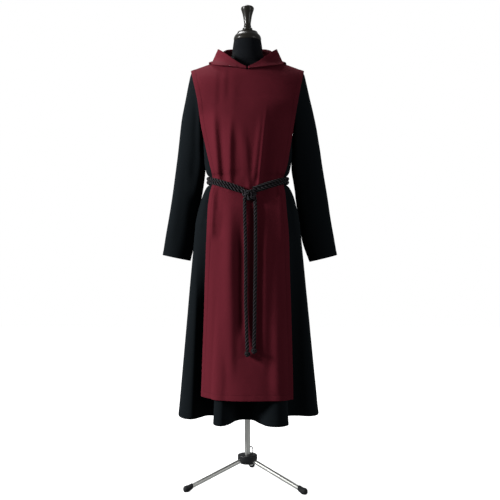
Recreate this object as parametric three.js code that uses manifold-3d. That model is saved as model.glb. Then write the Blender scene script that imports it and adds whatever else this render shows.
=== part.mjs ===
// A monk habit on a limbless dress form: tunic, scapular with its hood down, and a rope belt.
// Millimetres, +Z up, +X to the right of someone facing the front, front towards -Y.
// The origin is on the floor under the pole. "forward" below means -Y.

import * as THREE from 'three';
import { mergeVertices } from 'three/addons/utils/BufferGeometryUtils.js';
import Module from 'manifold-3d';

const manifold = await Module();
manifold.setup();

// ---------------------------------------------------------------- driving dimensions

const CLOTH = 1.6;                 // wall of the woollen cloth
const HOOD_GAP = 7.4;              // between the hood and the scapular under it
const SEAM_GAP = 0.3;              // between pieces that a seam joins
const LAYER_GAP = 4.0;             // between two layers of cloth that lie on each other

const HEM_HEIGHT = 253;            // tunic hem above the floor
const HIP_HEIGHT = 930;            // where the skirt starts to hang straight
const ARMPIT_HEIGHT = 1285;
const SHOULDER_TIP = 198;          // tunic shoulder, from the middle
const RIDGE_AT_TIP = 1469;         // height of the tunic's shoulder seam at that tip
const SHOULDER_SLOPE = 0.345;
const ARCH_REACH = 100;            // height over which the shoulder rounds over

const SCAPULAR_HEM = 337;
const NECK_SIDE = 86;              // half width of the scapular's neckline on the shoulder
const V_DEPTH = 1459;              // bottom of the V, above the floor
const BLEND_TOP = 1360;            // the scapular leaves the shoulders between these heights
const BLEND_BOTTOM = 1300;
const WORN_HALF = 226;             // half width of its section where it lies on the shoulders
const WORN_TOP = 1474;             // its tables start at this height

const ROPE = 12.8;                 // rope diameter
const ROPE_GAP = 0.4;              // half the space between the two turns of the belt
const POLE_RADIUS = 10;

// Sections of the tunic, top to bottom. left and right are the half widths of its section,
// front and back how far it reaches from the middle.
const TUNIC = [
  { z: 1500, left: 206, right: 206, front: 78, back: 68 },
  { z: 1440, left: 204, right: 204, front: 96, back: 86 },
  { z: 1380, left: 193, right: 193, front: 109, back: 97 },
  { z: 1320, left: 177, right: 177, front: 119, back: 102 },
  { z: 1285, left: 163, right: 163.5, front: 122, back: 104 },
  { z: 1220, left: 156.5, right: 158, front: 121, back: 101 },
  { z: 1160, left: 153.5, right: 157, front: 117, back: 98 },
  { z: 1120, left: 149.5, right: 151.5, front: 114, back: 97 },
  { z: 1103, left: 143.5, right: 145.5, front: 110, back: 95 },
  { z: 1092, left: 132.6, right: 134.6, front: 107, back: 91 },
  { z: 1069, left: 132.4, right: 134.4, front: 104, back: 91 },
  { z: 1058, left: 145, right: 148, front: 103, back: 95 },
  { z: 1028, left: 159.5, right: 163.5, front: 105, back: 104 },
  { z: 1000, left: 168.5, right: 171.5, front: 117, back: 115 },
  { z: 960, left: 179, right: 181, front: 130, back: 125 },
  { z: 930, left: 185, right: 186, front: 135, back: 131 },
];
const SECTION_POWER = 2.5;

// Half width of the tunic's panels across the armholes.
const ARMHOLE = [
  { z: 1500, x: 200 }, { z: 1469, x: 198 }, { z: 1440, x: 186 }, { z: 1410, x: 177 },
  { z: 1380, x: 171 }, { z: 1350, x: 168 }, { z: 1310, x: 167 }, { z: 1285, x: 163 },
];

// The tunic's hem, from the left side seam to the right one. Each row is the ridge or the
// root of a fold.
const FRONT_HEM = [
  { x: -246.5, forward: -6, fold: 'side seam' },
  { x: -240, forward: 52, fold: 'side' },
  { x: -222, forward: 98, fold: 'side lobe' },
  { x: -190, forward: 116, fold: 'side lobe' },
  { x: -165, forward: 84, fold: 'side' },
  { x: -142, forward: 50, fold: 'side root' },
  { x: -114, forward: 52, fold: 'inside the deep fold' },
  { x: -98, forward: 84, fold: 'inside the deep fold' },
  { x: -103, forward: 128, fold: 'inside the deep fold' },
  { x: -114, forward: 172, fold: 'edge of the middle' },
  { x: -108, forward: 213, fold: 'middle lobe' },
  { x: -84, forward: 230, fold: 'middle lobe' },
  { x: -60, forward: 196, fold: 'middle' },
  { x: -38, forward: 138, fold: 'middle' },
  { x: -10, forward: 117, fold: 'middle root' },
  { x: 20, forward: 130, fold: 'middle' },
  { x: 42, forward: 184, fold: 'middle' },
  { x: 68, forward: 232, fold: 'middle lobe' },
  { x: 104, forward: 243, fold: 'middle lobe' },
  { x: 134, forward: 216, fold: 'edge of the middle' },
  { x: 136, forward: 172, fold: 'inside the deep fold' },
  { x: 124, forward: 130, fold: 'inside the deep fold' },
  { x: 124, forward: 88, fold: 'inside the deep fold' },
  { x: 144, forward: 55, fold: 'side root' },
  { x: 178, forward: 52, fold: 'side' },
  { x: 214, forward: 62, fold: 'side lobe' },
  { x: 242, forward: 44, fold: 'side' },
  { x: 253, forward: 2, fold: 'side' },
  { x: 256, forward: -42, fold: 'side seam' },
];
const BACK_HEM = [
  { x: -246.5, forward: -6, fold: 'side seam' },
  { x: -240, forward: -62, fold: 'side' },
  { x: -222, forward: -112, fold: 'side lobe' },
  { x: -186, forward: -140, fold: 'side lobe' },
  { x: -152, forward: -116, fold: 'root' },
  { x: -122, forward: -134, fold: 'side' },
  { x: -98, forward: -184, fold: 'lobe' },
  { x: -62, forward: -200, fold: 'lobe' },
  { x: -34, forward: -168, fold: 'side' },
  { x: -4, forward: -142, fold: 'root' },
  { x: 26, forward: -160, fold: 'side' },
  { x: 54, forward: -198, fold: 'lobe' },
  { x: 92, forward: -196, fold: 'lobe' },
  { x: 116, forward: -150, fold: 'side' },
  { x: 142, forward: -120, fold: 'root' },
  { x: 176, forward: -138, fold: 'side' },
  { x: 214, forward: -138, fold: 'side lobe' },
  { x: 243, forward: -98, fold: 'side' },
  { x: 256, forward: -42, fold: 'side seam' },
];

// Sections of the scapular below the shoulders: half widths to each edge, how far the middle
// stands out, and how far each edge does.
const SCAPULAR_FRONT = [
  { z: 1474, left: 202, right: 202, middle: 98, leftEdge: 40, rightEdge: 40 },
  { z: 1410, left: 186, right: 187, middle: 112, leftEdge: 64, rightEdge: 64 },
  { z: 1355, left: 174, right: 176, middle: 124, leftEdge: 72, rightEdge: 72 },
  { z: 1275, left: 163, right: 163, middle: 129, leftEdge: 66, rightEdge: 66 },
  { z: 1200, left: 147, right: 151, middle: 127, leftEdge: 70, rightEdge: 68 },
  { z: 1130, left: 131, right: 139, middle: 121, leftEdge: 73, rightEdge: 70 },
  { z: 1104, left: 124, right: 131, middle: 117, leftEdge: 72, rightEdge: 72 },
  { z: 1090, left: 122, right: 127, middle: 115, leftEdge: 58, rightEdge: 54 },
  { z: 1068, left: 121, right: 125, middle: 112, leftEdge: 57, rightEdge: 57 },
  { z: 1036, left: 130, right: 131, middle: 110, leftEdge: 74, rightEdge: 76 },
  { z: 1010, left: 134, right: 133, middle: 118, leftEdge: 86, rightEdge: 90 },
  { z: 980, left: 137, right: 135, middle: 132, leftEdge: 96, rightEdge: 100 },
  { z: 890, left: 140, right: 142, middle: 152, leftEdge: 113, rightEdge: 116 },
  { z: 770, left: 144, right: 145, middle: 169, leftEdge: 120, rightEdge: 132 },
  { z: 600, left: 149, right: 149, middle: 194, leftEdge: 130, rightEdge: 158 },
  { z: 450, left: 154, right: 152, middle: 219, leftEdge: 136, rightEdge: 182 },
  { z: 337, left: 158, right: 153, middle: 241, leftEdge: 140, rightEdge: 201 },
];
const SCAPULAR_BACK = [
  { z: 1474, left: 202, right: 202, middle: 88, leftEdge: 38, rightEdge: 38 },
  { z: 1410, left: 187, right: 187, middle: 101, leftEdge: 60, rightEdge: 60 },
  { z: 1355, left: 176, right: 176, middle: 107, leftEdge: 66, rightEdge: 66 },
  { z: 1275, left: 164, right: 164, middle: 111, leftEdge: 58, rightEdge: 58 },
  { z: 1200, left: 150, right: 151, middle: 108, leftEdge: 60, rightEdge: 60 },
  { z: 1130, left: 136, right: 138, middle: 104, leftEdge: 62, rightEdge: 62 },
  { z: 1098, left: 125, right: 126, middle: 99, leftEdge: 50, rightEdge: 50 },
  { z: 1066, left: 124, right: 125, middle: 98, leftEdge: 52, rightEdge: 52 },
  { z: 1025, left: 132, right: 132, middle: 110, leftEdge: 70, rightEdge: 70 },
  { z: 980, left: 138, right: 138, middle: 127, leftEdge: 90, rightEdge: 90 },
  { z: 890, left: 144, right: 144, middle: 148, leftEdge: 110, rightEdge: 110 },
  { z: 770, left: 148, right: 147, middle: 162, leftEdge: 122, rightEdge: 122 },
  { z: 600, left: 152, right: 151, middle: 186, leftEdge: 137, rightEdge: 137 },
  { z: 450, left: 155, right: 155, middle: 206, leftEdge: 152, rightEdge: 152 },
  { z: 337, left: 158, right: 157, middle: 222, leftEdge: 166, rightEdge: 166 },
];

// The largest folds pressed into the scapular's front by the belt. Each runs from top to
// bottom, from x to toX; height is out from the panel, or into it when it is negative.
const SCAPULAR_FOLDS = [
  { name: 'left ridge', top: 1360, bottom: 1080, x: -128, toX: -100, width: 17, height: 5 },
  { name: 'left trough', top: 1290, bottom: 1076, x: -108, toX: -88, width: 10, height: -7 },
  { name: 'second ridge', top: 1290, bottom: 1060, x: -78, toX: -72, width: 13, height: 6 },
  { name: 'middle ridge', top: 1290, bottom: 1060, x: -22, toX: -8, width: 13, height: 4 },
  { name: 'streak', top: 1330, bottom: 1050, x: 54, toX: 20, width: 12, height: 6 },
  { name: 'lower trough', top: 1046, bottom: 860, x: -87, toX: -96, width: 11, height: -7 },
  { name: 'lower ridge', top: 1030, bottom: 420, x: -70, toX: -78, width: 17, height: 6 },
  { name: 'tail trough', top: 1010, bottom: 520, x: -22, toX: -18, width: 14, height: -7 },
  { name: 'right band', top: 1000, bottom: 420, x: 58, toX: 46, width: 20, height: 4 },
];

// The left half of the hood, from the front V round to the middle of the back. seam is where
// it is sewn to the neckline, roll where it turns over, crown its lowest fold, edge its free
// opening. Each is [x, forward, z]; puff is how far the outer layer stands off.
const HOOD = [
  { seam: [-2.5, 91, 1462], roll: [-3, 93, 1462], crown: [-3.5, 95, 1461.5], edge: [-2, 92, 1467.5], puff: 0 },
  { seam: [-17, 86, 1471], roll: [-20, 92, 1469], crown: [-21, 97, 1464], edge: [-16, 91, 1475], puff: 1 },
  { seam: [-36, 79, 1482], roll: [-40, 88, 1477], crown: [-41, 97, 1468], edge: [-34, 84, 1487], puff: 3 },
  { seam: [-58, 66, 1493], roll: [-66, 79, 1487], crown: [-72, 91, 1474], edge: [-61, 68, 1510], puff: 5 },
  { seam: [-77, 40, 1507], roll: [-92, 50, 1503], crown: [-112, 71, 1479], edge: [-86, 43, 1534], puff: 5 },
  { seam: [-85, 10, 1514], roll: [-104, 16, 1512], crown: [-138, 28, 1489], edge: [-107, 10, 1552], puff: 6 },
  { seam: [-82, -18, 1513], roll: [-91, -30, 1552], crown: [-136, -52, 1463], edge: [-101, -40, 1556], puff: 7 },
  { seam: [-62, -44, 1507], roll: [-70, -60, 1578], crown: [-122, -112, 1382], edge: [-70, -94, 1552], puff: 13 },
  { seam: [-33, -57, 1501], roll: [-36, -75, 1581], crown: [-76, -138, 1298], edge: [-37, -124, 1545], puff: 18 },
  { seam: [-0.3, -61, 1499], roll: [-0.3, -80, 1582], crown: [-0.3, -142, 1258], edge: [-0.3, -138, 1542], puff: 20 },
];

// Sleeves: half-distance from the middle of the outer and inner lines at each height.
const SLEEVE_LEFT = {
  outer: [
    { z: 1469, x: 198.7 }, { z: 1454, x: 205 }, { z: 1380, x: 221 }, { z: 1299, x: 236 },
    { z: 1160, x: 254 }, { z: 1060, x: 268 }, { z: 992, x: 279 }, { z: 900, x: 294 },
    { z: 817, x: 307.5 },
  ],
  inner: [
    { z: 1285, x: 163.9 }, { z: 1231, x: 158.9 }, { z: 1176, x: 155.8 }, { z: 1122, x: 151.2 },
    { z: 1080, x: 156 }, { z: 1045, x: 161.5 }, { z: 1013, x: 168 }, { z: 960, x: 180.6 },
    { z: 905, x: 188.4 }, { z: 844, x: 196 }, { z: 796, x: 208 },
  ],
};
const SLEEVE_RIGHT = {
  outer: [
    { z: 1469, x: 198.7 }, { z: 1454, x: 205 }, { z: 1380, x: 223 }, { z: 1303, x: 241 },
    { z: 1220, x: 257 }, { z: 1131, x: 272 }, { z: 1040, x: 288 }, { z: 949, x: 302 },
    { z: 817, x: 325 },
  ],
  inner: [
    { z: 1285, x: 164.4 }, { z: 1231, x: 160.4 }, { z: 1176, x: 158.4 }, { z: 1122, x: 157.8 },
    { z: 1080, x: 165 }, { z: 1045, x: 171 }, { z: 1012, x: 174.6 }, { z: 960, x: 183 },
    { z: 920, x: 188.6 }, { z: 868, x: 198 }, { z: 830, x: 210 }, { z: 792, x: 225 },
  ],
};
// How far forward a sleeve's middle hangs and half its depth, down its length (0 to 1).
const SLEEVE_HANG = [
  { down: 0, forward: 2, depth: 61 }, { down: 0.15, forward: -8, depth: 58 },
  { down: 0.35, forward: -26, depth: 53 }, { down: 0.6, forward: -42, depth: 48 },
  { down: 0.8, forward: -48, depth: 45 }, { down: 1, forward: -50, depth: 42 },
];

// Sections of the dress form under the cloth.
const FORM = [
  { z: 1580.7, half: 49, front: 49, back: 49 },
  { z: 1557, half: 52.5, front: 53, back: 52 },
  { z: 1534, half: 55, front: 56, back: 52 },
  { z: 1520, half: 60, front: 58, back: 48 },
  { z: 1510, half: 68, front: 58, back: 44 },
  { z: 1500, half: 82, front: 55, back: 43 },
  { z: 1488, half: 109, front: 57, back: 46 },
  { z: 1474, half: 146, front: 68, back: 56 },
  { z: 1458, half: 170, front: 78, back: 66 },
  { z: 1430, half: 184, front: 91, back: 80 },
  { z: 1390, half: 184, front: 100, back: 88 },
  { z: 1340, half: 166, front: 109, back: 94 },
  { z: 1285, half: 152, front: 114, back: 95 },
  { z: 1220, half: 143, front: 110, back: 92 },
  { z: 1150, half: 130, front: 100, back: 86 },
  { z: 1080, half: 122, front: 92, back: 82 },
  { z: 1020, half: 142, front: 103, back: 93 },
  { z: 950, half: 164, front: 116, back: 114 },
  { z: 890, half: 171, front: 118, back: 120 },
  { z: 848, half: 168, front: 114, back: 116 },
  { z: 832, half: 160, front: 106, back: 108 },
];

// ---------------------------------------------------------------- small helpers

const clamp = (value, low = 0, high = 1) => Math.min(high, Math.max(low, value));
const mix = (a, b, t) => a + (b - a) * t;
const ease = (t) => clamp(t) ** 2 * (3 - 2 * clamp(t));
const point = (x, forward, z) => new THREE.Vector3(x, -forward, z);

// A smooth reading of one column of a table at some height or place along it.
function read(rows, column, at, key = 'z') {
  const up = rows[rows.length - 1][key] > rows[0][key];
  let i = 0;
  while (i < rows.length - 2 && (up ? rows[i + 1][key] < at : rows[i + 1][key] > at)) i += 1;
  const slope = (k) => {
    const before = rows[Math.max(k - 1, 0)];
    const after = rows[Math.min(k + 1, rows.length - 1)];
    return (after[column] - before[column]) / (after[key] - before[key]);
  };
  const a = rows[i];
  const b = rows[i + 1];
  const span = b[key] - a[key];
  const t = clamp((at - a[key]) / span);
  const h = t * t * (3 - 2 * t);
  const lead = span * slope(i) * (t * t * t - 2 * t * t + t);
  const trail = span * slope(i + 1) * (t * t * t - t * t);
  return a[column] * (1 - h) + b[column] * h + lead + trail;
}

// Points at equal steps along a curve through the given points.
function along(points, steps) {
  const curve = new THREE.CatmullRomCurve3(points, false, 'catmullrom', 0.5);
  curve.arcLengthDivisions = 400;
  return curve.getSpacedPoints(steps);
}

// ---------------------------------------------------------------- surfaces of the garment

const ridge = (x, rise) => RIDGE_AT_TIP + rise + SHOULDER_SLOPE * (SHOULDER_TIP - Math.abs(x));
const arch = (x, z, rise) => {
  const q = clamp((ridge(x, rise) - z) / ARCH_REACH);
  return Math.sqrt(1 - (1 - q) ** 2);
};

// How far a section of this half width and depth stands out at x.
function oval(x, half, depth, power = SECTION_POWER) {
  return depth * (1 - clamp(Math.abs(x) / half) ** power) ** (1 / power);
}

// How far the tunic's upper part stands out at x and z, side 1 in front and -1 behind.
function tunicReach(x, z, side) {
  const half = read(TUNIC, x < 0 ? 'left' : 'right', z);
  const depth = read(TUNIC, side > 0 ? 'front' : 'back', z);
  return oval(x, half, depth) * arch(x, z, 0);
}

// One section of the tunic's panel as x values at equal steps from seam to seam.
function sectionXs(z, side, steps) {
  const left = read(TUNIC, 'left', z);
  const right = read(TUNIC, 'right', z);
  const depth = read(TUNIC, side > 0 ? 'front' : 'back', z);
  const reach = z > ARMPIT_HEIGHT ? read(ARMHOLE, 'x', z) : Infinity;
  const fine = [];
  const count = 96;
  for (let i = 0; i <= count; i += 1) {
    const turn = (i / count - 0.5) * Math.PI;
    const half = turn < 0 ? left : right;
    const x = half * Math.sign(turn) * Math.abs(Math.sin(turn)) ** (2 / SECTION_POWER);
    const limited = clamp(x, -Math.min(reach, left), Math.min(reach, right));
    fine.push(new THREE.Vector2(limited, oval(limited, half, depth)));
  }
  const lengths = [0];
  for (let i = 1; i <= count; i += 1) lengths.push(lengths[i - 1] + fine[i].distanceTo(fine[i - 1]));
  const total = lengths[count];
  const xs = [];
  let k = 1;
  for (let i = 0; i <= steps; i += 1) {
    const want = (total * i) / steps;
    while (k < count && lengths[k] < want) k += 1;
    const part = (want - lengths[k - 1]) / Math.max(lengths[k] - lengths[k - 1], 1e-9);
    xs.push(mix(fine[k - 1].x, fine[k].x, clamp(part)));
  }
  return xs;
}

// Height of the panel's top edge at x: the shoulder seam, or the neckline between the shoulders.
function topEdge(x, rise, neckHalf, neckFront, neckBack, side, bow) {
  if (Math.abs(x) >= neckHalf) return ridge(x, rise);
  const bottom = side > 0 ? neckFront : neckBack;
  return mix(bottom, ridge(neckHalf, rise), (Math.abs(x) / neckHalf) ** bow);
}

const TUNIC_NECK = { half: 92, front: 1444, back: 1486, bow: 1.8 };
const BODY_ROWS = [1285, 1225, 1165, 1120, 1103, 1092, 1069, 1058, 1028, 980, 930];
const SKIRT_STEPS = 4;
const YOKE_ROWS = 6;
const SETTLE_PASSES = 12;

// Rows of points over one panel of the tunic, from the hem to the shoulder.
function tunicPanel(side, columns) {
  const hemRows = side > 0 ? FRONT_HEM : BACK_HEM;
  const hem = along(hemRows.map((row) => point(row.x, row.forward, HEM_HEIGHT)), columns);
  const section = (z) => sectionXs(z, side, columns)
    .map((x) => point(x, side * tunicReach(x, z, side), z));
  const hip = section(HIP_HEIGHT);
  const grid = [];
  for (let i = 0; i < SKIRT_STEPS; i += 1) {
    const t = i / SKIRT_STEPS;
    grid.push(hem.map((low, j) => low.clone().lerp(hip[j], t)));
  }
  for (const z of [...BODY_ROWS].reverse()) grid.push(section(z));
  for (let i = 1; i <= YOKE_ROWS; i += 1) {
    const climb = Math.sin((i / YOKE_ROWS) * Math.PI / 2);
    const row = [];
    for (let j = 0; j <= columns; j += 1) {
      let top = ridge(SHOULDER_TIP, 0);
      let z = top;
      let x = 0;
      for (let pass = 0; pass < SETTLE_PASSES; pass += 1) {
        z = mix(z, mix(ARMPIT_HEIGHT, top, climb), 0.7);
        x = sectionXs(z, side, columns)[j];
        top = topEdge(x, 0, TUNIC_NECK.half, TUNIC_NECK.front, TUNIC_NECK.back, side, TUNIC_NECK.bow);
      }
      row.push(point(x, side * tunicReach(x, z, side), z));
    }
    grid.push(row);
  }
  return grid;
}

// Where the tunic's skirt stands out furthest at x and z, from points close together along it.
// Each point counts over NEAR millimetres to either side, less the further away it is.
const NEAR = 12;
const FALL_OFF = 4;
const HANGING = new Map();
function hangingSection(z, side) {
  const key = `${side}:${z}`;
  if (!HANGING.has(key)) {
    const hemRows = side > 0 ? FRONT_HEM : BACK_HEM;
    const count = 160;
    const hem = along(hemRows.map((row) => point(row.x, row.forward, HEM_HEIGHT)), count);
    const t = (z - HEM_HEIGHT) / (HIP_HEIGHT - HEM_HEIGHT);
    const xs = sectionXs(HIP_HEIGHT, side, count);
    HANGING.set(key, hem.map((low, j) => {
      const high = point(xs[j], side * tunicReach(xs[j], HIP_HEIGHT, side), z);
      return low.clone().lerp(high, t);
    }));
  }
  return HANGING.get(key);
}
function skirtReach(x, z, side) {
  let reach = 0;
  for (const p of hangingSection(z, side)) {
    const nearness = 1 - ((p.x - x) / NEAR) ** 2;
    if (nearness > 0) reach = Math.max(reach, -side * p.y - FALL_OFF * (1 - nearness));
  }
  return reach;
}

// How far the scapular stands out at x and z.
function scapularReach(x, z, side) {
  const table = side > 0 ? SCAPULAR_FRONT : SCAPULAR_BACK;
  const half = read(table, x < 0 ? 'left' : 'right', z);
  const edge = read(table, x < 0 ? 'leftEdge' : 'rightEdge', z);
  const middle = read(table, 'middle', z);
  const hung = edge + (middle - edge) * (1 - clamp(Math.abs(x) / half) ** SECTION_POWER);
  const depth = read(TUNIC, side > 0 ? 'front' : 'back', z) + CLOTH + LAYER_GAP;
  const worn = oval(x, WORN_HALF, depth) * arch(x, z, CLOTH + LAYER_GAP);
  let out = mix(hung, worn, ease((z - BLEND_BOTTOM) / (BLEND_TOP - BLEND_BOTTOM)));
  if (side > 0) {
    for (const fold of SCAPULAR_FOLDS) {
      const down = (fold.top - z) / (fold.top - fold.bottom);
      if (down > 0 && down < 1) {
        const middleX = mix(fold.x, fold.toX, down);
        const bell = Math.exp(-(((x - middleX) / fold.width) ** 2));
        const strength = Math.min(ease(down * 2.5), ease((1 - down) * 6));
        out += fold.height * bell * strength;
      }
    }
  }
  if (z > BLEND_TOP) return out;
  const under = z < HIP_HEIGHT ? skirtReach(x, z, side) : tunicReach(x, z, side);
  const clear = under + CLOTH + LAYER_GAP;
  const soft = 3;
  return clear + soft * Math.log1p(Math.exp((out - clear) / soft));
}

const SCAPULAR_RISE = CLOTH + LAYER_GAP;
const SCAPULAR_NECK = { half: NECK_SIDE, front: V_DEPTH, back: 1493, bow: 1.25 };

// Rows of points over one panel of the scapular, from the shoulder down to its hem.
function scapularPanel(side, columns, levels) {
  const table = side > 0 ? SCAPULAR_FRONT : SCAPULAR_BACK;
  const grid = [];
  for (let i = 0; i <= YOKE_ROWS; i += 1) {
    const climb = Math.sin(((YOKE_ROWS - i) / YOKE_ROWS) * Math.PI / 2);
    const row = [];
    for (let j = 0; j <= columns; j += 1) {
      const across = (j / columns) * 2 - 1;
      let z = RIDGE_AT_TIP;
      let x = 0;
      for (let pass = 0; pass < SETTLE_PASSES; pass += 1) {
        x = across * read(table, across < 0 ? 'left' : 'right', Math.min(z, WORN_TOP));
        const top = topEdge(x, SCAPULAR_RISE, SCAPULAR_NECK.half, SCAPULAR_NECK.front,
          SCAPULAR_NECK.back, side, SCAPULAR_NECK.bow);
        z = mix(z, mix(levels[0], top, climb), 0.7);
      }
      const out = Math.max(scapularReach(x, z, side), climb === 1 ? SEAM_GAP / 2 : 0);
      row.push(point(x, side * out, z));
    }
    grid.push(row);
  }
  for (const z of levels.slice(1)) {
    const row = [];
    for (let j = 0; j <= columns; j += 1) {
      const across = (j / columns) * 2 - 1;
      const x = across * read(table, across < 0 ? 'left' : 'right', z);
      row.push(point(x, side * scapularReach(x, z, side), z));
    }
    grid.push(row);
  }
  return grid;
}

// Moves a point of the hood out from the middle of the shoulder until it is clear of the
// scapular under it. Above the neckline there is nothing to be clear of.
function clearOfScapular(p) {
  const gap = CLOTH + HOOD_GAP;
  const side = p.y < 0 ? 1 : -1;
  const forward = Math.abs(p.y);
  const middle = ridge(p.x, SCAPULAR_RISE) - ARCH_REACH;
  if (p.z < middle) {
    p.y = -side * Math.max(forward, scapularReach(p.x, p.z, side) + gap);
    return p;
  }
  const depth = read(TUNIC, side > 0 ? 'front' : 'back', p.z) + SCAPULAR_RISE;
  const full = oval(p.x, WORN_HALF, depth) + gap;
  const radius = Math.hypot(forward / full, (p.z - middle) / (ARCH_REACH + gap));
  const top = topEdge(p.x, SCAPULAR_RISE, SCAPULAR_NECK.half, SCAPULAR_NECK.front,
    SCAPULAR_NECK.back, side, SCAPULAR_NECK.bow);
  const covered = ease((top + 3.5 * gap - p.z) / (2.5 * gap));
  const grow = radius < 1 ? mix(1, 1 / radius, covered) : 1;
  p.y *= grow;
  p.z = middle + (p.z - middle) * grow;
  return p;
}

// Rows of points over the left half of the hood, station by station.
const SEAM_LIFT = 2;
function hoodHalf(stations, across) {
  const column = (name) => along(HOOD.map((row) => point(...row[name])), stations);
  const seam = column('seam').map((p) => p.setZ(p.z + SEAM_LIFT));
  const roll = column('roll');
  const crown = column('crown');
  const edge = column('edge');
  const puffs = along(HOOD.map((row, i) => new THREE.Vector3(i * 10, row.puff, 0)), stations);
  const grid = [];
  for (let i = 0; i <= stations; i += 1) {
    const inner = roll[i].clone().lerp(crown[i], 0.5);
    const outer = crown[i].clone().lerp(edge[i], 0.45);
    const away = outer.clone().sub(inner).setZ(0);
    if (away.length() > 1e-6) outer.addScaledVector(away.normalize(), puffs[i].y);
    clearOfScapular(inner);
    const profile = [seam[i], roll[i], inner, crown[i], outer, edge[i]];
    const row = along(profile, across);
    grid.push(row.map((p, k) => (k === 0 ? p : clearOfScapular(p))));
  }
  return grid.map((row, i) => row.map((p, k) => {
    if (k === 0 || i === 0 || i === stations) return p;
    const beside = grid[i - 1][k].clone().add(grid[i + 1][k]).multiplyScalar(0.5);
    return clearOfScapular(p.clone().lerp(beside, 0.5));
  }));
}

// The edge that a sleeve is sewn to, from the shoulder down the front, and up the back.
function armholeLoop(front, back, sign) {
  const first = SKIRT_STEPS + BODY_ROWS.length - 1;
  const pick = (grid) => grid.slice(first).map((row) => row[sign < 0 ? 0 : row.length - 1]);
  const down = pick(front).reverse();
  const up = pick(back).slice(1);
  return [...down, ...up.slice(0, -1)];
}

// Rings of points down a sleeve, the first of them on its armhole.
const ARMHOLE_GAP = 0.7;
function sleeveRings(lines, sign, loop, rings) {
  const count = loop.length;
  const grid = [];
  const ringAt = (down) => {
    const outerZ = mix(lines.outer[0].z, lines.outer.at(-1).z, down);
    const innerZ = mix(lines.inner[0].z, lines.inner.at(-1).z, down);
    const outer = new THREE.Vector2(read(lines.outer, 'x', outerZ), outerZ);
    const inner = new THREE.Vector2(read(lines.inner, 'x', innerZ), innerZ);
    const forward = read(SLEEVE_HANG, 'forward', down, 'down');
    const depth = read(SLEEVE_HANG, 'depth', down, 'down');
    const ring = [];
    for (let k = 0; k < count; k += 1) {
      const turn = (2 * Math.PI * k) / count;
      const toOuter = (1 + Math.cos(turn)) / 2;
      const spot = inner.clone().lerp(outer, toOuter);
      ring.push(point(sign * spot.x, forward + depth * Math.sin(turn), spot.y));
    }
    return ring;
  };
  const start = ringAt(0);
  for (let i = 0; i <= rings; i += 1) {
    const down = i / rings;
    const fade = (1 - clamp(down / 0.3)) ** 2;
    const row = ringAt(down).map((p, k) => {
      const shift = loop[k].clone().sub(start[k]);
      shift.x += sign * ARMHOLE_GAP;
      return p.addScaledVector(shift, fade);
    });
    grid.push(row);
  }
  return grid;
}

// ---------------------------------------------------------------- turning points into solids

function signedVolume(vertices, triangles) {
  let sum = 0;
  for (const [a, b, c] of triangles) {
    sum += vertices[a].dot(vertices[b].clone().cross(vertices[c]));
  }
  return sum / 6;
}

function geometryOf(vertices, triangles) {
  const outward = signedVolume(vertices, triangles) > 0;
  const geometry = new THREE.BufferGeometry();
  const positions = new Float32Array(vertices.flatMap((v) => [v.x, v.y, v.z]));
  geometry.setAttribute('position', new THREE.BufferAttribute(positions, 3));
  geometry.setIndex(triangles.flatMap(([a, b, c]) => (outward ? [a, b, c] : [a, c, b])));
  return geometry;
}

function gridNormals(grid, closed) {
  const rows = grid.length;
  const columns = grid[0].length;
  return grid.map((row, i) => row.map((_, j) => {
    const left = closed ? (j + columns - 1) % columns : Math.max(j - 1, 0);
    const right = closed ? (j + 1) % columns : Math.min(j + 1, columns - 1);
    const across = grid[i][right].clone().sub(grid[i][left]);
    const down = grid[Math.min(i + 1, rows - 1)][j].clone().sub(grid[Math.max(i - 1, 0)][j]);
    return across.cross(down).normalize();
  }));
}

// Turns the normals on a panel's sewn edges into the plane of the seam, so that its wall and
// its neighbour's meet face to face. sides and ends name the axis across each seam.
function squareSeams(grid, normals, { sides, ends }) {
  grid.forEach((row, i) => row.forEach((p, j) => {
    const atSide = j === 0 || j === row.length - 1;
    const atEnd = i === 0 || i === grid.length - 1;
    if (atSide && sides) normals[i][j].setComponent('xyz'.indexOf(sides), 0).normalize();
    else if (atEnd && ends && Math.abs(p[ends]) < 4) {
      normals[i][j].setComponent('xyz'.indexOf(ends), 0).normalize();
    }
  }));
}

// A cloth wall whose outer face is the grid. inward is 1 or -1, the side its thickness goes.
// Both faces of a quad are split along the same diagonal, which keeps the wall's thickness.
// A tube that starts at a seam has its first ring's wall kept on the seam's side, outwards.
function clothWall(grid, { closed = false, inward = 1, seams = {}, outwards = 0 } = {}) {
  const rows = grid.length;
  const columns = grid[0].length;
  const normals = gridNormals(grid, closed);
  squareSeams(grid, normals, seams);
  for (const n of normals[0]) {
    if (outwards && n.x * inward * outwards < 0) n.setX(0).normalize();
  }
  const outer = grid.flat();
  const inner = grid.flatMap((row, i) => row
    .map((p, j) => p.clone().addScaledVector(normals[i][j], inward * CLOTH)));
  const vertices = [...outer, ...inner];
  const skin = rows * columns;
  const triangles = [];
  const quad = (a, b, c, d) => triangles.push([a, b, c], [a, c, d]);
  const spans = closed ? columns : columns - 1;
  for (let i = 0; i < rows - 1; i += 1) {
    for (let j = 0; j < spans; j += 1) {
      const next = (j + 1) % columns;
      const a = i * columns + j;
      const b = i * columns + next;
      const c = (i + 1) * columns + next;
      const d = (i + 1) * columns + j;
      quad(a, b, c, d);
      quad(skin + a, skin + d, skin + c, skin + b);
    }
  }
  for (let j = 0; j < spans; j += 1) {
    const next = (j + 1) % columns;
    const last = (rows - 1) * columns;
    quad(skin + j, skin + next, next, j);
    quad(last + j, last + next, skin + last + next, skin + last + j);
  }
  if (!closed) {
    for (let i = 0; i < rows - 1; i += 1) {
      const a = i * columns;
      const b = (i + 1) * columns;
      quad(a, b, skin + b, skin + a);
      const c = a + columns - 1;
      const d = b + columns - 1;
      quad(skin + c, skin + d, d, c);
    }
  }
  return geometryOf(vertices, triangles);
}

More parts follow.
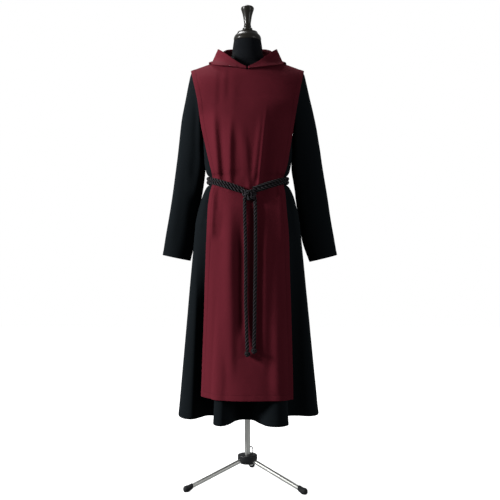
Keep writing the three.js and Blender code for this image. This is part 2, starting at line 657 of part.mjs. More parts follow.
// A solid lofted through closed rings, with a fan over each end.
function loft(rings) {
  const count = rings[0].length;
  const vertices = rings.flat();
  const triangles = [];
  for (let i = 0; i < rings.length - 1; i += 1) {
    for (let j = 0; j < count; j += 1) {
      const next = (j + 1) % count;
      const a = i * count + j;
      const b = i * count + next;
      const c = (i + 1) * count + next;
      const d = (i + 1) * count + j;
      triangles.push([a, b, c], [a, c, d]);
    }
  }
  const middle = (ring) => ring.reduce((sum, p) => sum.add(p), new THREE.Vector3())
    .divideScalar(count);
  const first = vertices.push(middle(rings[0])) - 1;
  const last = vertices.push(middle(rings.at(-1))) - 1;
  const base = (rings.length - 1) * count;
  for (let j = 0; j < count; j += 1) {
    const next = (j + 1) % count;
    triangles.push([first, next, j], [last, base + j, base + next]);
  }
  return geometryOf(vertices, triangles);
}

function tube(points, radius, sides, steps) {
  const section = new THREE.Shape();
  for (let k = 0; k < sides; k += 1) {
    const turn = (2 * Math.PI * k) / sides;
    const at = [radius * Math.cos(turn), radius * Math.sin(turn)];
    if (k === 0) section.moveTo(...at);
    else section.lineTo(...at);
  }
  section.closePath();
  const path = new THREE.CatmullRomCurve3(points, false, 'catmullrom', 0.5);
  return new THREE.ExtrudeGeometry(section, {
    steps, bevelEnabled: false, extrudePath: path, curveSegments: 1,
  });
}

// A turned piece, standing on its axis, from rows of radius and height.
function turned(rows, segments) {
  const profile = rows.map(([radius, z]) => new THREE.Vector2(radius, z));
  const geometry = new THREE.LatheGeometry(profile, segments);
  geometry.rotateX(Math.PI / 2);
  return geometry;
}

function toManifold(geometry) {
  const bare = geometry.clone();
  bare.deleteAttribute('normal');
  bare.deleteAttribute('uv');
  const merged = mergeVertices(bare, 1e-3);
  return new manifold.Manifold(new manifold.Mesh({
    numProp: 3,
    vertProperties: new Float32Array(merged.attributes.position.array),
    triVerts: new Uint32Array(merged.index.array),
  }));
}

function fromManifold(solid) {
  const mesh = solid.getMesh();
  const geometry = new THREE.BufferGeometry();
  geometry.setAttribute('position', new THREE.BufferAttribute(mesh.vertProperties, 3));
  geometry.setIndex(new THREE.BufferAttribute(mesh.triVerts, 1));
  return geometry;
}

function joined(geometries) {
  const solids = geometries.map(toManifold);
  return fromManifold(solids.reduce((sum, next) => sum.add(next)));
}

// A rubber foot, pointing towards -Y, with a flat underside.
function footGeometry() {
  const rings = [
    { out: -21, z: 17.7, half: 9.4 }, { out: -20, z: 17.3, half: 10 },
    { out: -12, z: 13.8, half: 11.2 }, { out: -5, z: 10.6, half: 11.8 },
    { out: 2, z: 10.2, half: 11.6 }, { out: 7, z: 9.7, half: 10.6 },
    { out: 10, z: 9.3, half: 7.6 },
  ];
  const count = 16;
  return loft(rings.map(({ out, z, half }) => {
    const ring = [];
    for (let k = 0; k < count; k += 1) {
      const turn = (2 * Math.PI * k) / count;
      ring.push(point(half * Math.sin(turn), out, Math.max(z + half * Math.cos(turn), 0)));
    }
    return ring;
  }));
}

// ---------------------------------------------------------------- materials

const finish = (color, roughness, metalness = 0) => new THREE.MeshStandardMaterial({
  color, roughness, metalness,
});
const MATERIALS = {
  tunic: finish(0x0c0e11, 0.9),
  scapular: finish(0x4a1520, 0.88),
  rope: finish(0x141416, 0.85),
  jersey: finish(0x111316, 0.95),
  lacquer: finish(0x14120f, 0.2),
  steel: finish(0xb9b8b2, 0.3, 1),
  plastic: finish(0x131313, 0.45),
  rubber: finish(0x101010, 0.8),
};

const part = new THREE.Group();

function add(name, geometry, material) {
  const mesh = new THREE.Mesh(geometry, material);
  mesh.name = name;
  part.add(mesh);
  return mesh;
}

// ---------------------------------------------------------------- garment pieces

const tunicFront = tunicPanel(1, 36);
const tunicBack = tunicPanel(-1, 25);

// Trims a panel back from a seam that it shares with its neighbour.
function seamBack(grid, side, rowsFromTop) {
  for (const row of grid) {
    for (const p of [row[0], row.at(-1)]) p.y -= side * SEAM_GAP / 2;
  }
  for (const row of grid.slice(-rowsFromTop)) for (const p of row) p.y -= side * SEAM_GAP / 2;
  return grid;
}

const tunicSeams = { sides: 'y', ends: 'y' };
add('tunic_front', clothWall(seamBack(tunicFront, 1, 1), { inward: -1, seams: tunicSeams }),
  MATERIALS.tunic);
add('tunic_back', clothWall(seamBack(tunicBack, -1, 1), { inward: 1, seams: tunicSeams }),
  MATERIALS.tunic);

const SLEEVE_RINGS = 9;
for (const [name, lines, sign] of [
  ['sleeve_left', SLEEVE_LEFT, -1], ['sleeve_right', SLEEVE_RIGHT, 1],
]) {
  const loop = armholeLoop(tunicFront, tunicBack, sign);
  const rings = sleeveRings(lines, sign, loop, SLEEVE_RINGS);
  add(name, clothWall(rings, { closed: true, inward: -sign, outwards: sign }), MATERIALS.tunic);
}

const FRONT_LEVELS = [
  BLEND_TOP, 1305, 1235, 1165, 1120, 1103, 1092, 1069, 1058, 1036, 1010, 968, 905, 810, 690,
  570, 450, SCAPULAR_HEM,
];
const BACK_LEVELS = [
  BLEND_TOP, 1290, 1225, 1165, 1120, 1103, 1092, 1069, 1058, 1028, 975, 860, 700, 520,
  SCAPULAR_HEM,
];
const scapularFront = scapularPanel(1, 16, FRONT_LEVELS);
const scapularBack = scapularPanel(-1, 12, BACK_LEVELS);
add('scapular_front', clothWall(scapularFront, { inward: 1, seams: { ends: 'y' } }),
  MATERIALS.scapular);
add('scapular_back', clothWall(scapularBack, { inward: -1, seams: { ends: 'y' } }),
  MATERIALS.scapular);

const hoodLeft = hoodHalf(12, 10);
const hoodRight = hoodLeft.map((row) => row.map((p) => new THREE.Vector3(-p.x, p.y, p.z)));
add('hood_left', clothWall(hoodLeft, { inward: 1, seams: { ends: 'x' } }), MATERIALS.scapular);
add('hood_right', clothWall(hoodRight, { inward: -1, seams: { ends: 'x' } }),
  MATERIALS.scapular);

// ---------------------------------------------------------------- dress form

function formRing(row, count) {
  const ring = [];
  for (let k = 0; k < count; k += 1) {
    const turn = (2 * Math.PI * k) / count;
    const depth = Math.cos(turn) > 0 ? row.front : row.back;
    ring.push(point(row.half * Math.sin(turn), depth * Math.cos(turn), row.z));
  }
  return ring;
}
add('form_torso', loft(FORM.map((row) => formRing(row, 24))), MATERIALS.jersey);

add('neck_cap', turned([
  [0, 1581], [46, 1581], [48.5, 1583], [49, 1587], [48, 1594], [44, 1601], [38, 1607], [35.5, 1612],
  [34, 1613.5], [0, 1613.5],
], 24), MATERIALS.lacquer);
add('finial', turned([
  [0, 1613.9], [16, 1613.9], [15.5, 1616], [14.5, 1617], [17.2, 1619], [18, 1622.5], [17, 1626],
  [13.5, 1629], [12.2, 1631], [13.2, 1634], [12.2, 1637], [12, 1641], [13.5, 1655], [17.5, 1676],
  [22.5, 1691], [23.2, 1696], [22.6, 1699.5], [19, 1704], [12, 1707.4], [0, 1708.6],
], 20), MATERIALS.lacquer);

// ---------------------------------------------------------------- stand

const POLE_BOTTOM = 96;
const FORM_BOTTOM = 832;
const HUB_TOP = 106;
const LEG_RADIUS = 7.5;
const FOOT_REACH = 232.5;
const POLE_TOP = FORM_BOTTOM - 0.4;

add('pole', turned([
  [0, POLE_BOTTOM], [POLE_RADIUS, POLE_BOTTOM], [POLE_RADIUS, POLE_TOP], [0, POLE_TOP],
], 24), MATERIALS.steel);
// A ring under the form that the pole slides through.
add('socket', turned([
  [10.6, 806], [17, 806], [17, 824], [46, 826], [46, 831.6], [10.6, 831.6], [10.6, 806],
], 24), MATERIALS.plastic);

const LOOP_AT = { x: 12.5, forward: -19, foot: HUB_TOP + 0.4 };
const loopRoute = [
  [-6.4, 0], [-7, 7], [-6.6, 14], [-4.4, 19.6], [0, 22.4], [4.4, 19.6], [6.6, 14], [7, 7],
  [6.4, 0],
].map(([x, up]) => point(LOOP_AT.x + x, LOOP_AT.forward, LOOP_AT.foot + up));
add('hub_loop', tube(loopRoute, 1.7, 8, 16), MATERIALS.plastic);

// Each leg runs from a socket in the hub down to one in its foot. The tripod stands turned a
// little to the left.
const LEG_START = { reach: 22, z: 87 };
const LEG_END_Z = 11.8;
let hubBody = toManifold(turned([
  [0, 74], [25, 74], [27.5, 76], [28, 83], [33, 84], [34.6, 86], [35, 89], [35, 102],
  [34, 104.4], [32, HUB_TOP], [16, HUB_TOP], [16, 108], [10.6, 108], [10.6, 95.6], [0, 95.6],
], 24));
for (const { name, turn } of [
  { name: '1', turn: -64.5 }, { name: '2', turn: 56.5 }, { name: '3', turn: 176 },
]) {
  const angle = THREE.MathUtils.degToRad(turn);
  const spot = (out, z) => point(Math.sin(angle) * out, Math.cos(angle) * out, z);
  const start = spot(LEG_START.reach, LEG_START.z);
  const end = spot(FOOT_REACH - 5, LEG_END_Z);
  const middle = start.clone().lerp(end, 0.5);
  add(`leg_${name}`, tube([start, middle, end], LEG_RADIUS, 14, 1), MATERIALS.steel);
  const foot = footGeometry();
  foot.rotateZ(angle);
  foot.translate(...spot(FOOT_REACH, 0));
  const ahead = end.clone().sub(start).normalize().multiplyScalar(SEAM_GAP);
  const bore = toManifold(tube([start.sub(ahead), middle, end.add(ahead)],
    LEG_RADIUS + SEAM_GAP, 14, 1));
  hubBody = hubBody.subtract(bore);
  add(`foot_${name}`, fromManifold(toManifold(foot).subtract(bore)), MATERIALS.rubber);
}
add('hub', fromManifold(hubBody), MATERIALS.plastic);

// ---------------------------------------------------------------- rope belt

const BELT = { left: 139.6, right: 142.2, front: 121, back: 109.5, power: 2.7 };
const BELT_SIDE = 1081;
const BELT_FRONT = 1034;
const BELT_BACK = 1086;
const BELT_START = 0.07;
const BELT_END = 0.11;

function beltPoint(turn, up) {
  const swing = Math.sin(turn);
  const ahead = Math.cos(turn);
  const half = swing < 0 ? BELT.left : BELT.right;
  const depth = ahead > 0 ? BELT.front : BELT.back;
  const x = half * Math.sign(swing) * Math.abs(swing) ** (2 / BELT.power);
  const forward = depth * Math.sign(ahead) * Math.abs(ahead) ** (2 / BELT.power);
  const low = ahead > 0 ? BELT_FRONT : BELT_BACK;
  const z = ahead > 0 ? mix(low, BELT_SIDE, Math.abs(x) / half) : mix(BELT_SIDE, low, ahead * ahead);
  return point(x, forward, z + up);
}

// One turn round the waist, from the left of the knot to its right.
function beltTurn(up) {
  const route = [];
  const steps = 48;
  for (let i = 0; i <= steps; i += 1) {
    route.push(beltPoint(-mix(BELT_START, 2 * Math.PI - BELT_END, i / steps), up));
  }
  return route;
}
add('belt_upper', tube(beltTurn(ROPE / 2 + ROPE_GAP), ROPE / 2, 8, 44), MATERIALS.rope);
add('belt_lower', tube(beltTurn(-ROPE / 2 - ROPE_GAP), ROPE / 2, 8, 44), MATERIALS.rope);

const KNOT_STRANDS = [
  [[-18, 127, 1039], [-6, 132, 1036], [8, 137, 1029], [20, 135, 1018], [26.5, 131, 1009],
    [26.5, 131, 1003]],
  [[25, 127, 1037], [14, 133, 1036], [1, 139, 1030], [-7, 136, 1019], [-9, 131, 1009],
    [-9, 131, 1003]],
  [[-15, 129, 1026], [-2, 129, 1019], [14, 129, 1018], [24, 130, 1026], [14, 129, 1040]],
];
add('belt_knot', joined(KNOT_STRANDS.map((strand) => tube(strand.map((at) => point(...at)),
  ROPE / 2, 10, 7))), MATERIALS.rope);

// The two ends of the rope hang from the knot down the scapular's front.
const TAIL_LEFT = [
  [-9, 131, 1001.4], [-9, 132, 997], [-8.8, 137, 988], [-8.5, 144, 970], [-8, 151, 940],
  [-7, 157, 900], [-6, 163, 860], [-5.6, 168, 820], [-5.2, 173.5, 780], [-5, 179.6, 740],
  [-5.2, 185.4, 700], [-5, 191.2, 660], [-4, 197.4, 620], [-2.6, 205, 580], [-1, 213.6, 540],
  [0.2, 222.4, 502],
];
const TAIL_RIGHT = [
  [26.5, 131, 1001.4], [26.6, 132, 997], [27, 137, 988], [27.6, 144, 970], [28, 151, 940],
  [28, 158.4, 900], [28, 165.2, 860], [28, 171, 820], [27.6, 176.6, 780], [26.6, 182, 740],
  [26, 188, 700], [25.6, 194, 660], [25, 200, 620], [24.4, 206.6, 580], [23.4, 214.6, 540],
  [22.6, 221, 512],
];
const END_KNOT = [
  [0, -11.5], [5.5, -11.5], [8.6, -9], [10.4, -4], [10.7, 1], [9.4, 6.5], [6.8, 10], [0, 10],
];
for (const [name, route] of [['left', TAIL_LEFT], ['right', TAIL_RIGHT]]) {
  const line = route.map((at) => point(...at));
  add(`tail_${name}`, tube(line, ROPE / 2, 10, 18), MATERIALS.rope);
  const end = line.at(-1);
  const heading = end.clone().sub(line.at(-2)).normalize();
  const knot = turned(END_KNOT, 14);
  knot.rotateX(Math.asin(heading.y));
  knot.translate(...end.clone().addScaledVector(heading, 10.5));
  add(`end_knot_${name}`, knot, MATERIALS.rope);
}

export default part;
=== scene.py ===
"""A monk habit on a dress form: wool tunic and hooded scapular, rope belt, form and stand."""

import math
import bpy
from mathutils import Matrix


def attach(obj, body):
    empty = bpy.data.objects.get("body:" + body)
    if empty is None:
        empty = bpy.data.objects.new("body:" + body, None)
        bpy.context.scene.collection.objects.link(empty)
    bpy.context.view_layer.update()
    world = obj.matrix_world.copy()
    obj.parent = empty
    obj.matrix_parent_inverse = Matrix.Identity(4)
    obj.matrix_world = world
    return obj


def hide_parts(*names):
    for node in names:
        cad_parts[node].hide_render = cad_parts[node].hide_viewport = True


bl_info = {
    "name": "Monk Habit on a Dress Form",
    "version": (1, 0, 0),
    "blender": (4, 5, 0),
    "location": "3D View > Sidebar > Habit",
    "description": "Makes the cloth, rope, dress form and stand of a monk habit",
    "category": "Object",
}

import bmesh
import bpy
import numpy as np
from mathutils import Matrix, Vector, noise

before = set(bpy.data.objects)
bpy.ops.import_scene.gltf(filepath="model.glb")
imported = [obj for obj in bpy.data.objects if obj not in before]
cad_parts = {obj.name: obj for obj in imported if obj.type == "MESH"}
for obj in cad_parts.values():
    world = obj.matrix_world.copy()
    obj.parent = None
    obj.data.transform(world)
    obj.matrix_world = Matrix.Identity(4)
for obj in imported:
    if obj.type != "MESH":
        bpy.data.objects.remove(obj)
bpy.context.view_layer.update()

# ---------------------------------------------------------------- sizes, in millimetres

MM = 0.001
CLOTH = 1.6                 # wall of the woollen cloth
SEAM_GAP = 0.3              # between pieces that a seam joins
LAYER_GAP = 4.0             # between two layers of cloth
HOOD_GAP = 4.4              # between the hood and the scapular under it
HOOD_SEAM = 0.02            # from the middle to each half of the hood, where they are sewn
HEM_TURN = 18.0             # depth of the turned and stitched hems
NO_EDGE = 500.0             # further from an edge than any point of the cloth

# Unevenness of hand-cut cloth: the size of its clouds and how far they stand out.
BROAD_CLOUD, BROAD_RISE = 75, 1.3
FINE_CLOUD, FINE_RISE = 26, 0.45
SEAM_FLAT = 16              # within this of a seam the cloth lies flatter
HEM_STEP = 0.45             # how far a turned hem stands out

HEM_HEIGHT = 253
HIP_HEIGHT = 930
ARMPIT_HEIGHT = 1285
SHOULDER_TIP = 198
RIDGE_AT_TIP = 1469
SHOULDER_SLOPE = 0.345
ARCH_REACH = 100
SECTION_POWER = 2.5
YOKE_TOP, YOKE_STEP = 1514, 3.0     # sections of the yoke are worked out up to here
SETTLE_PASSES, SETTLE_SHARE = 14, 0.7
SKIRT_STEPS = 320
NEAR, FALL_OFF = 12, 4      # how far to each side the skirt lifts what lies on it

SCAPULAR_HEM = 337
SCAPULAR_TOP = 1474
SCAPULAR_RISE = CLOTH + LAYER_GAP
BLEND_TOP = 1360
BLEND_BOTTOM = 1300
WORN_HALF = 226

ROPE = 12.8
STRANDS = 3
LAY = 38.0                  # length in which a strand goes once round
STRAND_OUT, STRAND_SIZE = 0.62, 0.38    # of the rope's radius
CORE_SIZE = 0.5
STOPPER_DROP = 10.5         # from a hanging end to the middle of its stopper
STOPPER_WINDING, STOPPER_CORE, STOPPER_LAY = 7.4, 9.6, 14


class Table:
    """Rows of sizes in named columns, read smoothly between them. The first is the key."""

    def __init__(self, columns, *rows):
        values = np.array(sorted(rows), float).T
        self.keys = values[0]
        self.columns = dict(zip(columns, values))
        reach = np.arange(len(self.keys))
        before, after = np.maximum(reach - 1, 0), np.minimum(reach + 1, len(self.keys) - 1)
        run = self.keys[after] - self.keys[before]
        self.slopes = {name: (v[after] - v[before]) / run for name, v in self.columns.items()}

    def __call__(self, column, at):
        at = np.asarray(at, float)
        values, slopes = self.columns[column], self.slopes[column]
        i = np.clip(np.searchsorted(self.keys, at) - 1, 0, len(self.keys) - 2)
        span = self.keys[i + 1] - self.keys[i]
        t = np.clip((at - self.keys[i]) / span, 0, 1)
        rise = t * t * (3 - 2 * t)
        lead = span * slopes[i] * (t**3 - 2 * t**2 + t)
        trail = span * slopes[i + 1] * (t**3 - t**2)
        return values[i] * (1 - rise) + values[i + 1] * rise + lead + trail


# Half widths of the tunic's sections, and how far they reach in front and behind.
TUNIC = Table(
    ("z", "left", "right", "front", "back"),
    (1500, 206, 206, 78, 68),
    (1440, 204, 204, 96, 86),
    (1380, 193, 193, 109, 97),
    (1320, 177, 177, 119, 102),
    (1285, 163.2, 163.8, 122, 104),
    (1220, 157.6, 159.2, 121, 101),
    (1160, 154.2, 157.6, 117, 98),
    (1120, 149.5, 151.5, 114, 97),
    (1103, 143.5, 145.5, 110, 95),
    (1092, 132.6, 134.6, 107, 91),
    (1069, 132.4, 134.4, 104, 91),
    (1058, 145, 148, 103, 95),
    (1028, 159.5, 163.5, 105, 104),
    (1000, 168.5, 171.5, 117, 115),
    (960, 179, 181, 130, 125),
    (930, 185, 186, 135, 131),
)
ARMHOLE = Table(
    ("z", "x"),
    (1500, 200), (1469, 198), (1440, 186), (1410, 177),
    (1380, 171), (1350, 168), (1310, 167), (1285, 163),
)
# The tunic's hem from the left side seam to the right one, as x and forward.
FRONT_HEM = (
    (-246.5, -6), (-240, 52), (-222, 98), (-190, 116), (-165, 84), (-142, 50), (-114, 52),
    (-98, 84), (-103, 128), (-114, 172), (-108, 213), (-84, 230), (-60, 196), (-38, 138),
    (-10, 117), (20, 130), (42, 184), (68, 232), (104, 243), (134, 216), (136, 172),
    (124, 130), (124, 88), (144, 55), (178, 52), (214, 62), (242, 44), (253, 2), (256, -42),
)
BACK_HEM = (
    (-246.5, -6), (-240, -62), (-222, -112), (-186, -140), (-152, -116), (-122, -134),
    (-98, -184), (-62, -200), (-34, -168), (-4, -142), (26, -160), (54, -198), (92, -196),
    (116, -150), (142, -120), (176, -138), (214, -138), (243, -98), (256, -42),
)
SCAPULAR_FRONT = Table(
    ("z", "left", "right", "middle", "left_edge", "right_edge"),
    (1474, 202, 202, 98, 40, 40),
    (1410, 186, 187, 112, 64, 64),
    (1355, 174, 176, 124, 72, 72),
    (1275, 163, 163, 129, 66, 66),
    (1200, 147, 151, 127, 70, 68),
    (1130, 131, 139, 121, 73, 70),
    (1104, 124, 131, 117, 72, 72),
    (1090, 122, 127, 115, 58, 54),
    (1068, 121, 125, 112, 57, 57),
    (1036, 130, 131, 110, 74, 76),
    (1010, 134, 133, 118, 86, 90),
    (980, 137, 135, 132, 96, 100),
    (890, 140, 142, 152, 113, 116),
    (770, 144, 145, 169, 120, 132),
    (600, 149, 149, 194, 130, 158),
    (450, 154, 152, 219, 136, 182),
    (337, 158, 153, 241, 140, 201),
)
SCAPULAR_BACK = Table(
    ("z", "left", "right", "middle", "left_edge", "right_edge"),
    (1474, 202, 202, 88, 38, 38),
    (1410, 187, 187, 101, 60, 60),
    (1355, 176, 176, 107, 66, 66),
    (1275, 164, 164, 111, 58, 58),
    (1200, 150, 151, 108, 60, 60),
    (1130, 136, 138, 104, 62, 62),
    (1098, 125, 126, 99, 50, 50),
    (1066, 124, 125, 98, 52, 52),
    (1025, 132, 132, 110, 70, 70),
    (980, 138, 138, 127, 90, 90),
    (890, 144, 144, 148, 110, 110),
    (770, 148, 147, 162, 122, 122),
    (600, 152, 151, 186, 137, 137),
    (450, 155, 155, 206, 152, 152),
    (337, 158, 157, 222, 166, 166),
)
# Neckline: half width, its height in the middle in front and behind, and how it bows.
TUNIC_NECK = {"half": 92, 1: 1444, -1: 1486, "bow": 1.8}
SCAPULAR_NECK = {"half": 86, 1: 1459, -1: 1493, "bow": 1.25}

# Folds and creases: top and bottom heights, x at each, half width and height in millimetres.
SCAPULAR_FOLDS = (
    (1360, 1080, -128, -100, 17, 5),
    (1290, 1076, -108, -88, 10, -7),
    (1290, 1060, -78, -72, 13, 6),
    (1290, 1060, -22, -8, 13, 4),
    (1330, 1050, 54, 20, 12, 6),
    (1046, 860, -87, -96, 11, -7),
    (1030, 420, -70, -78, 17, 6),
    (1010, 520, -22, -18, 14, -7),
    (1000, 420, 58, 46, 20, 4),
)
SCAPULAR_CREASES = (
    (1500, 1330, -106, -114, 12, 0.9),
    (1500, 1310, -92, -99, 10, -1.0),
    (1500, 1340, -78, -82, 11, 0.8),
    (1490, 1360, -62, -66, 9, -0.6),
    (1480, 1240, -44, -52, 14, 0.9),
    (1345, 1036, -118, -98, 12, 9.0),
    (1330, 1030, -94, -76, 11, -3.0),
    (1310, 1024, -58, -60, 11, 7.5),
    (1270, 1004, -8, 9, 10, 3.0),
    (1345, 1004, 68, 34, 7, 6.0),
    (1320, 1010, 84, 52, 12, -1.5),
    (1200, 1030, 104, 78, 10, 2.4),
    (1150, 1040, 114, 104, 7, 3.4),
    (1092, 860, -117, -124, 10, 6.5),
    (1096, 960, -96, -100, 8, -2.0),
    (1090, 380, -57, -54, 17, 8.0),
    (1076, 420, -6, -4, 14, -1.5),
    (1080, 400, 66, 60, 15, 5.0),
    (1094, 840, 112, 120, 12, 3.0),
    (1080, 1010, 99, 103, 5, -2.5),
    (820, 345, -118, -126, 18, 4.0),
    (640, 345, 96, 100, 18, 3.0),
    (760, 345, 126, 130, 14, 3.0),
)
SCAPULAR_BACK_CREASES = (
    (1240, 1072, -96, -80, 12, 5),
    (1260, 1070, -60, -54, 12, -4),
    (1300, 1066, -22, -18, 13, 4),
    (1250, 1070, 28, 22, 11, -4),
    (1290, 1070, 66, 56, 13, 5),
    (1200, 1070, 100, 88, 10, -3),
    (1062, 820, -84, -92, 13, 5),
    (1062, 900, -52, -56, 11, -4),
    (1058, 560, -8, -12, 18, 5),
    (1060, 860, 38, 42, 12, -4),
    (1060, 600, 78, 88, 16, 5),
    (900, 350, -110, -122, 18, 3),
    (760, 345, -44, -48, 20, -3),
    (700, 345, 46, 50, 20, -3),
)
TUNIC_CREASES = (
    (1275, 1086, -150, -128, 8, 2.0),
    (1240, 1090, -138, -118, 6, -2.0),
    (1270, 1088, 150, 128, 8, 2.2),
    (1200, 1090, 140, 120, 6, -2.0),
    (1058, 900, -138, -166, 8, 2.6),
    (1056, 930, -126, -144, 7, -2.6),
    (1054, 940, 132, 158, 7, -2.4),
    (1058, 860, 142, 176, 9, 2.6),
    (1050, 960, 118, 134, 6, 2.0),
)
TUNIC_BACK_CREASES = (
    (1260, 1088, -146, -126, 8, 2.2),
    (1230, 1090, -132, -114, 7, -2.0),
    (1262, 1088, 146, 126, 8, 2.2),
    (1230, 1090, 132, 114, 7, -2.2),
    (1060, 880, -132, -158, 9, 3.0),
    (1058, 920, -118, -136, 7, -2.4),
    (1060, 900, 130, 156, 9, 3.0),
    (1058, 930, 116, 132, 7, -2.4),
)

# The hood's left half, from the front V round to the middle of the back, each as x, forward
# and z: its seam on the neckline, where it turns over, its lowest fold and its free edge.
HOOD_COLUMNS = {
    "seam": (
        (-2.5, 91, 1462), (-17, 86, 1471), (-36, 79, 1482), (-58, 66, 1493), (-77, 40, 1507),
        (-85, 10, 1514), (-82, -18, 1513), (-62, -44, 1507), (-33, -57, 1501), (-0.3, -61, 1499),
    ),
    "roll": (
        (-3, 93, 1462), (-20, 92, 1469), (-40, 88, 1477), (-66, 79, 1487), (-92, 50, 1503),
        (-104, 16, 1512), (-91, -30, 1552), (-70, -60, 1578), (-36, -75, 1581), (-0.3, -80, 1582),
    ),
    "crown": (
        (-3.5, 95, 1461.5), (-21, 97, 1464), (-41, 97, 1468), (-72, 91, 1474), (-112, 71, 1479),
        (-138, 28, 1489), (-136, -52, 1463), (-122, -112, 1382), (-76, -138, 1298),
        (-0.3, -142, 1258),
    ),
    "edge": (
        (-2, 92, 1467.5), (-16, 91, 1475), (-34, 84, 1487), (-61, 68, 1510), (-86, 43, 1534),
        (-107, 10, 1552), (-101, -40, 1556), (-70, -94, 1552), (-37, -124, 1545),
        (-0.3, -138, 1542),
    ),
}
HOOD_PUFF = (0, 1, 4, 24, 30, 28, 20, 18, 18, 20)

SLEEVES = {
    "left": (
        Table(("z", "x"), (1469, 198.7), (1454, 205), (1380, 221), (1299, 236), (1160, 254),
              (1060, 268), (992, 279), (900, 294), (817, 307.5)),
        Table(("z", "x"), (1285, 163.9), (1231, 158.9), (1176, 155.8), (1122, 151.2), (1080, 156),
              (1045, 161.5), (1013, 168), (960, 180.6), (905, 188.4), (844, 196), (796, 208)),
    ),
    "right": (
        Table(("z", "x"), (1469, 198.7), (1454, 205), (1380, 223), (1303, 241), (1220, 257),
              (1131, 272), (1040, 288), (949, 302), (817, 325)),
        Table(("z", "x"), (1285, 164.4), (1231, 160.4), (1176, 158.4), (1122, 157.8), (1080, 165),
              (1045, 171), (1012, 174.6), (960, 183), (920, 188.6), (868, 198), (830, 210),
              (792, 225)),
    ),
}
# How far forward a sleeve's middle hangs, and half its depth, down its length.
SLEEVE_HANG = Table(
    ("down", "forward", "depth"),
    (0, 2, 61), (0.15, -8, 58), (0.35, -26, 53), (0.6, -42, 48), (0.8, -48, 45), (1, -50, 42),
)
# Soft folds along a sleeve: place round it in turns from the outer line towards the front,
# how far it winds, the stretch down the sleeve, half width in turns and height.
SLEEVE_FOLDS = {
    "left": (
        (0.38, -0.03, 0.03, 0.62, 0.050, 7.6),
        (0.28, 0.02, 0.00, 0.55, 0.055, -3.6),
        (0.12, 0.03, 0.30, 1.00, 0.070, 2.0),
        (0.22, 0.02, 0.45, 0.96, 0.055, -1.8),
        (0.62, -0.04, 0.10, 0.70, 0.060, 2.6),
        (0.80, 0.03, 0.20, 0.95, 0.070, -2.2),
    ),
    "right": (
        (0.40, -0.02, 0.03, 0.50, 0.050, 2.2),
        (0.30, 0.02, 0.10, 0.80, 0.055, -2.0),
        (0.14, 0.03, 0.25, 1.00, 0.070, 1.8),
        (0.66, -0.03, 0.10, 0.75, 0.060, 2.4),
        (0.84, 0.02, 0.30, 0.95, 0.065, -2.0),
    ),
}

FORM = Table(
    ("z", "half", "front", "back"),
    (1580.7, 49, 49, 49), (1557, 52.5, 53, 52), (1534, 55, 56, 52), (1520, 60, 58, 48),
    (1510, 68, 58, 44), (1500, 82, 55, 43), (1488, 109, 57, 46), (1474, 146, 68, 56),
    (1458, 170, 78, 66), (1430, 184, 91, 80), (1390, 184, 100, 88), (1340, 166, 109, 94),
    (1285, 152, 114, 95), (1220, 143, 110, 92), (1150, 130, 100, 86), (1080, 122, 92, 82),
    (1020, 142, 103, 93), (950, 164, 116, 114), (890, 171, 118, 120), (848, 168, 114, 116),
    (832, 160, 106, 108),
)
FORM_TOP, FORM_BOTTOM = 1580.7, 832

# The rope's route: an oval round the waist, the knot's short lengths and two hanging ends.
BELT = {"left": 139.6, "right": 142.2, "front": 121, "back": 109.5, "power": 2.7}
BELT_SIDE, BELT_FRONT, BELT_BACK = 1081, 1034, 1086
BELT_START, BELT_END = 0.07, 0.11
KNOT_STRANDS = (
    ((-18, 127, 1039), (-6, 132, 1036), (8, 137, 1029), (20, 135, 1018), (26.5, 131, 1009),
     (26.5, 131, 1003)),
    ((25, 127, 1037), (14, 133, 1036), (1, 139, 1030), (-7, 136, 1019), (-9, 131, 1009),
     (-9, 131, 1003)),
    ((-15, 129, 1026), (-2, 129, 1019), (14, 129, 1018), (24, 130, 1026), (14, 129, 1040)),
    ((-13, 131, 1030), (-3, 137, 1020), (8, 139, 1012), (19, 137, 1012), (24, 131, 1020)),
    ((28, 129, 1028), (18, 134, 1022), (6, 134, 1009), (-6, 130, 1014)),
)
TAILS = {
    "left": (
        (-9, 131, 1001.4), (-9, 132, 997), (-8.8, 137, 988), (-8.5, 144, 970), (-8, 151, 940),
        (-7, 157, 900), (-6, 163, 860), (-5.6, 168, 820), (-5.2, 173.5, 780), (-5, 179.6, 740),
        (-5.2, 185.4, 700), (-5, 191.2, 660), (-4, 197.4, 620), (-2.6, 205, 580),
        (-1, 213.6, 540), (0.2, 222.4, 502),
    ),
    "right": (
        (26.5, 131, 1001.4), (26.6, 132, 997), (27, 137, 988), (27.6, 144, 970),
        (28, 151, 940), (28, 158.4, 900), (28, 165.2, 860), (28, 171, 820), (27.6, 176.6, 780),
        (26.6, 182, 740), (26, 188, 700), (25.6, 194, 660), (25, 200, 620), (24.4, 206.6, 580),
        (23.4, 214.6, 540), (22.6, 221, 512),
    ),
}

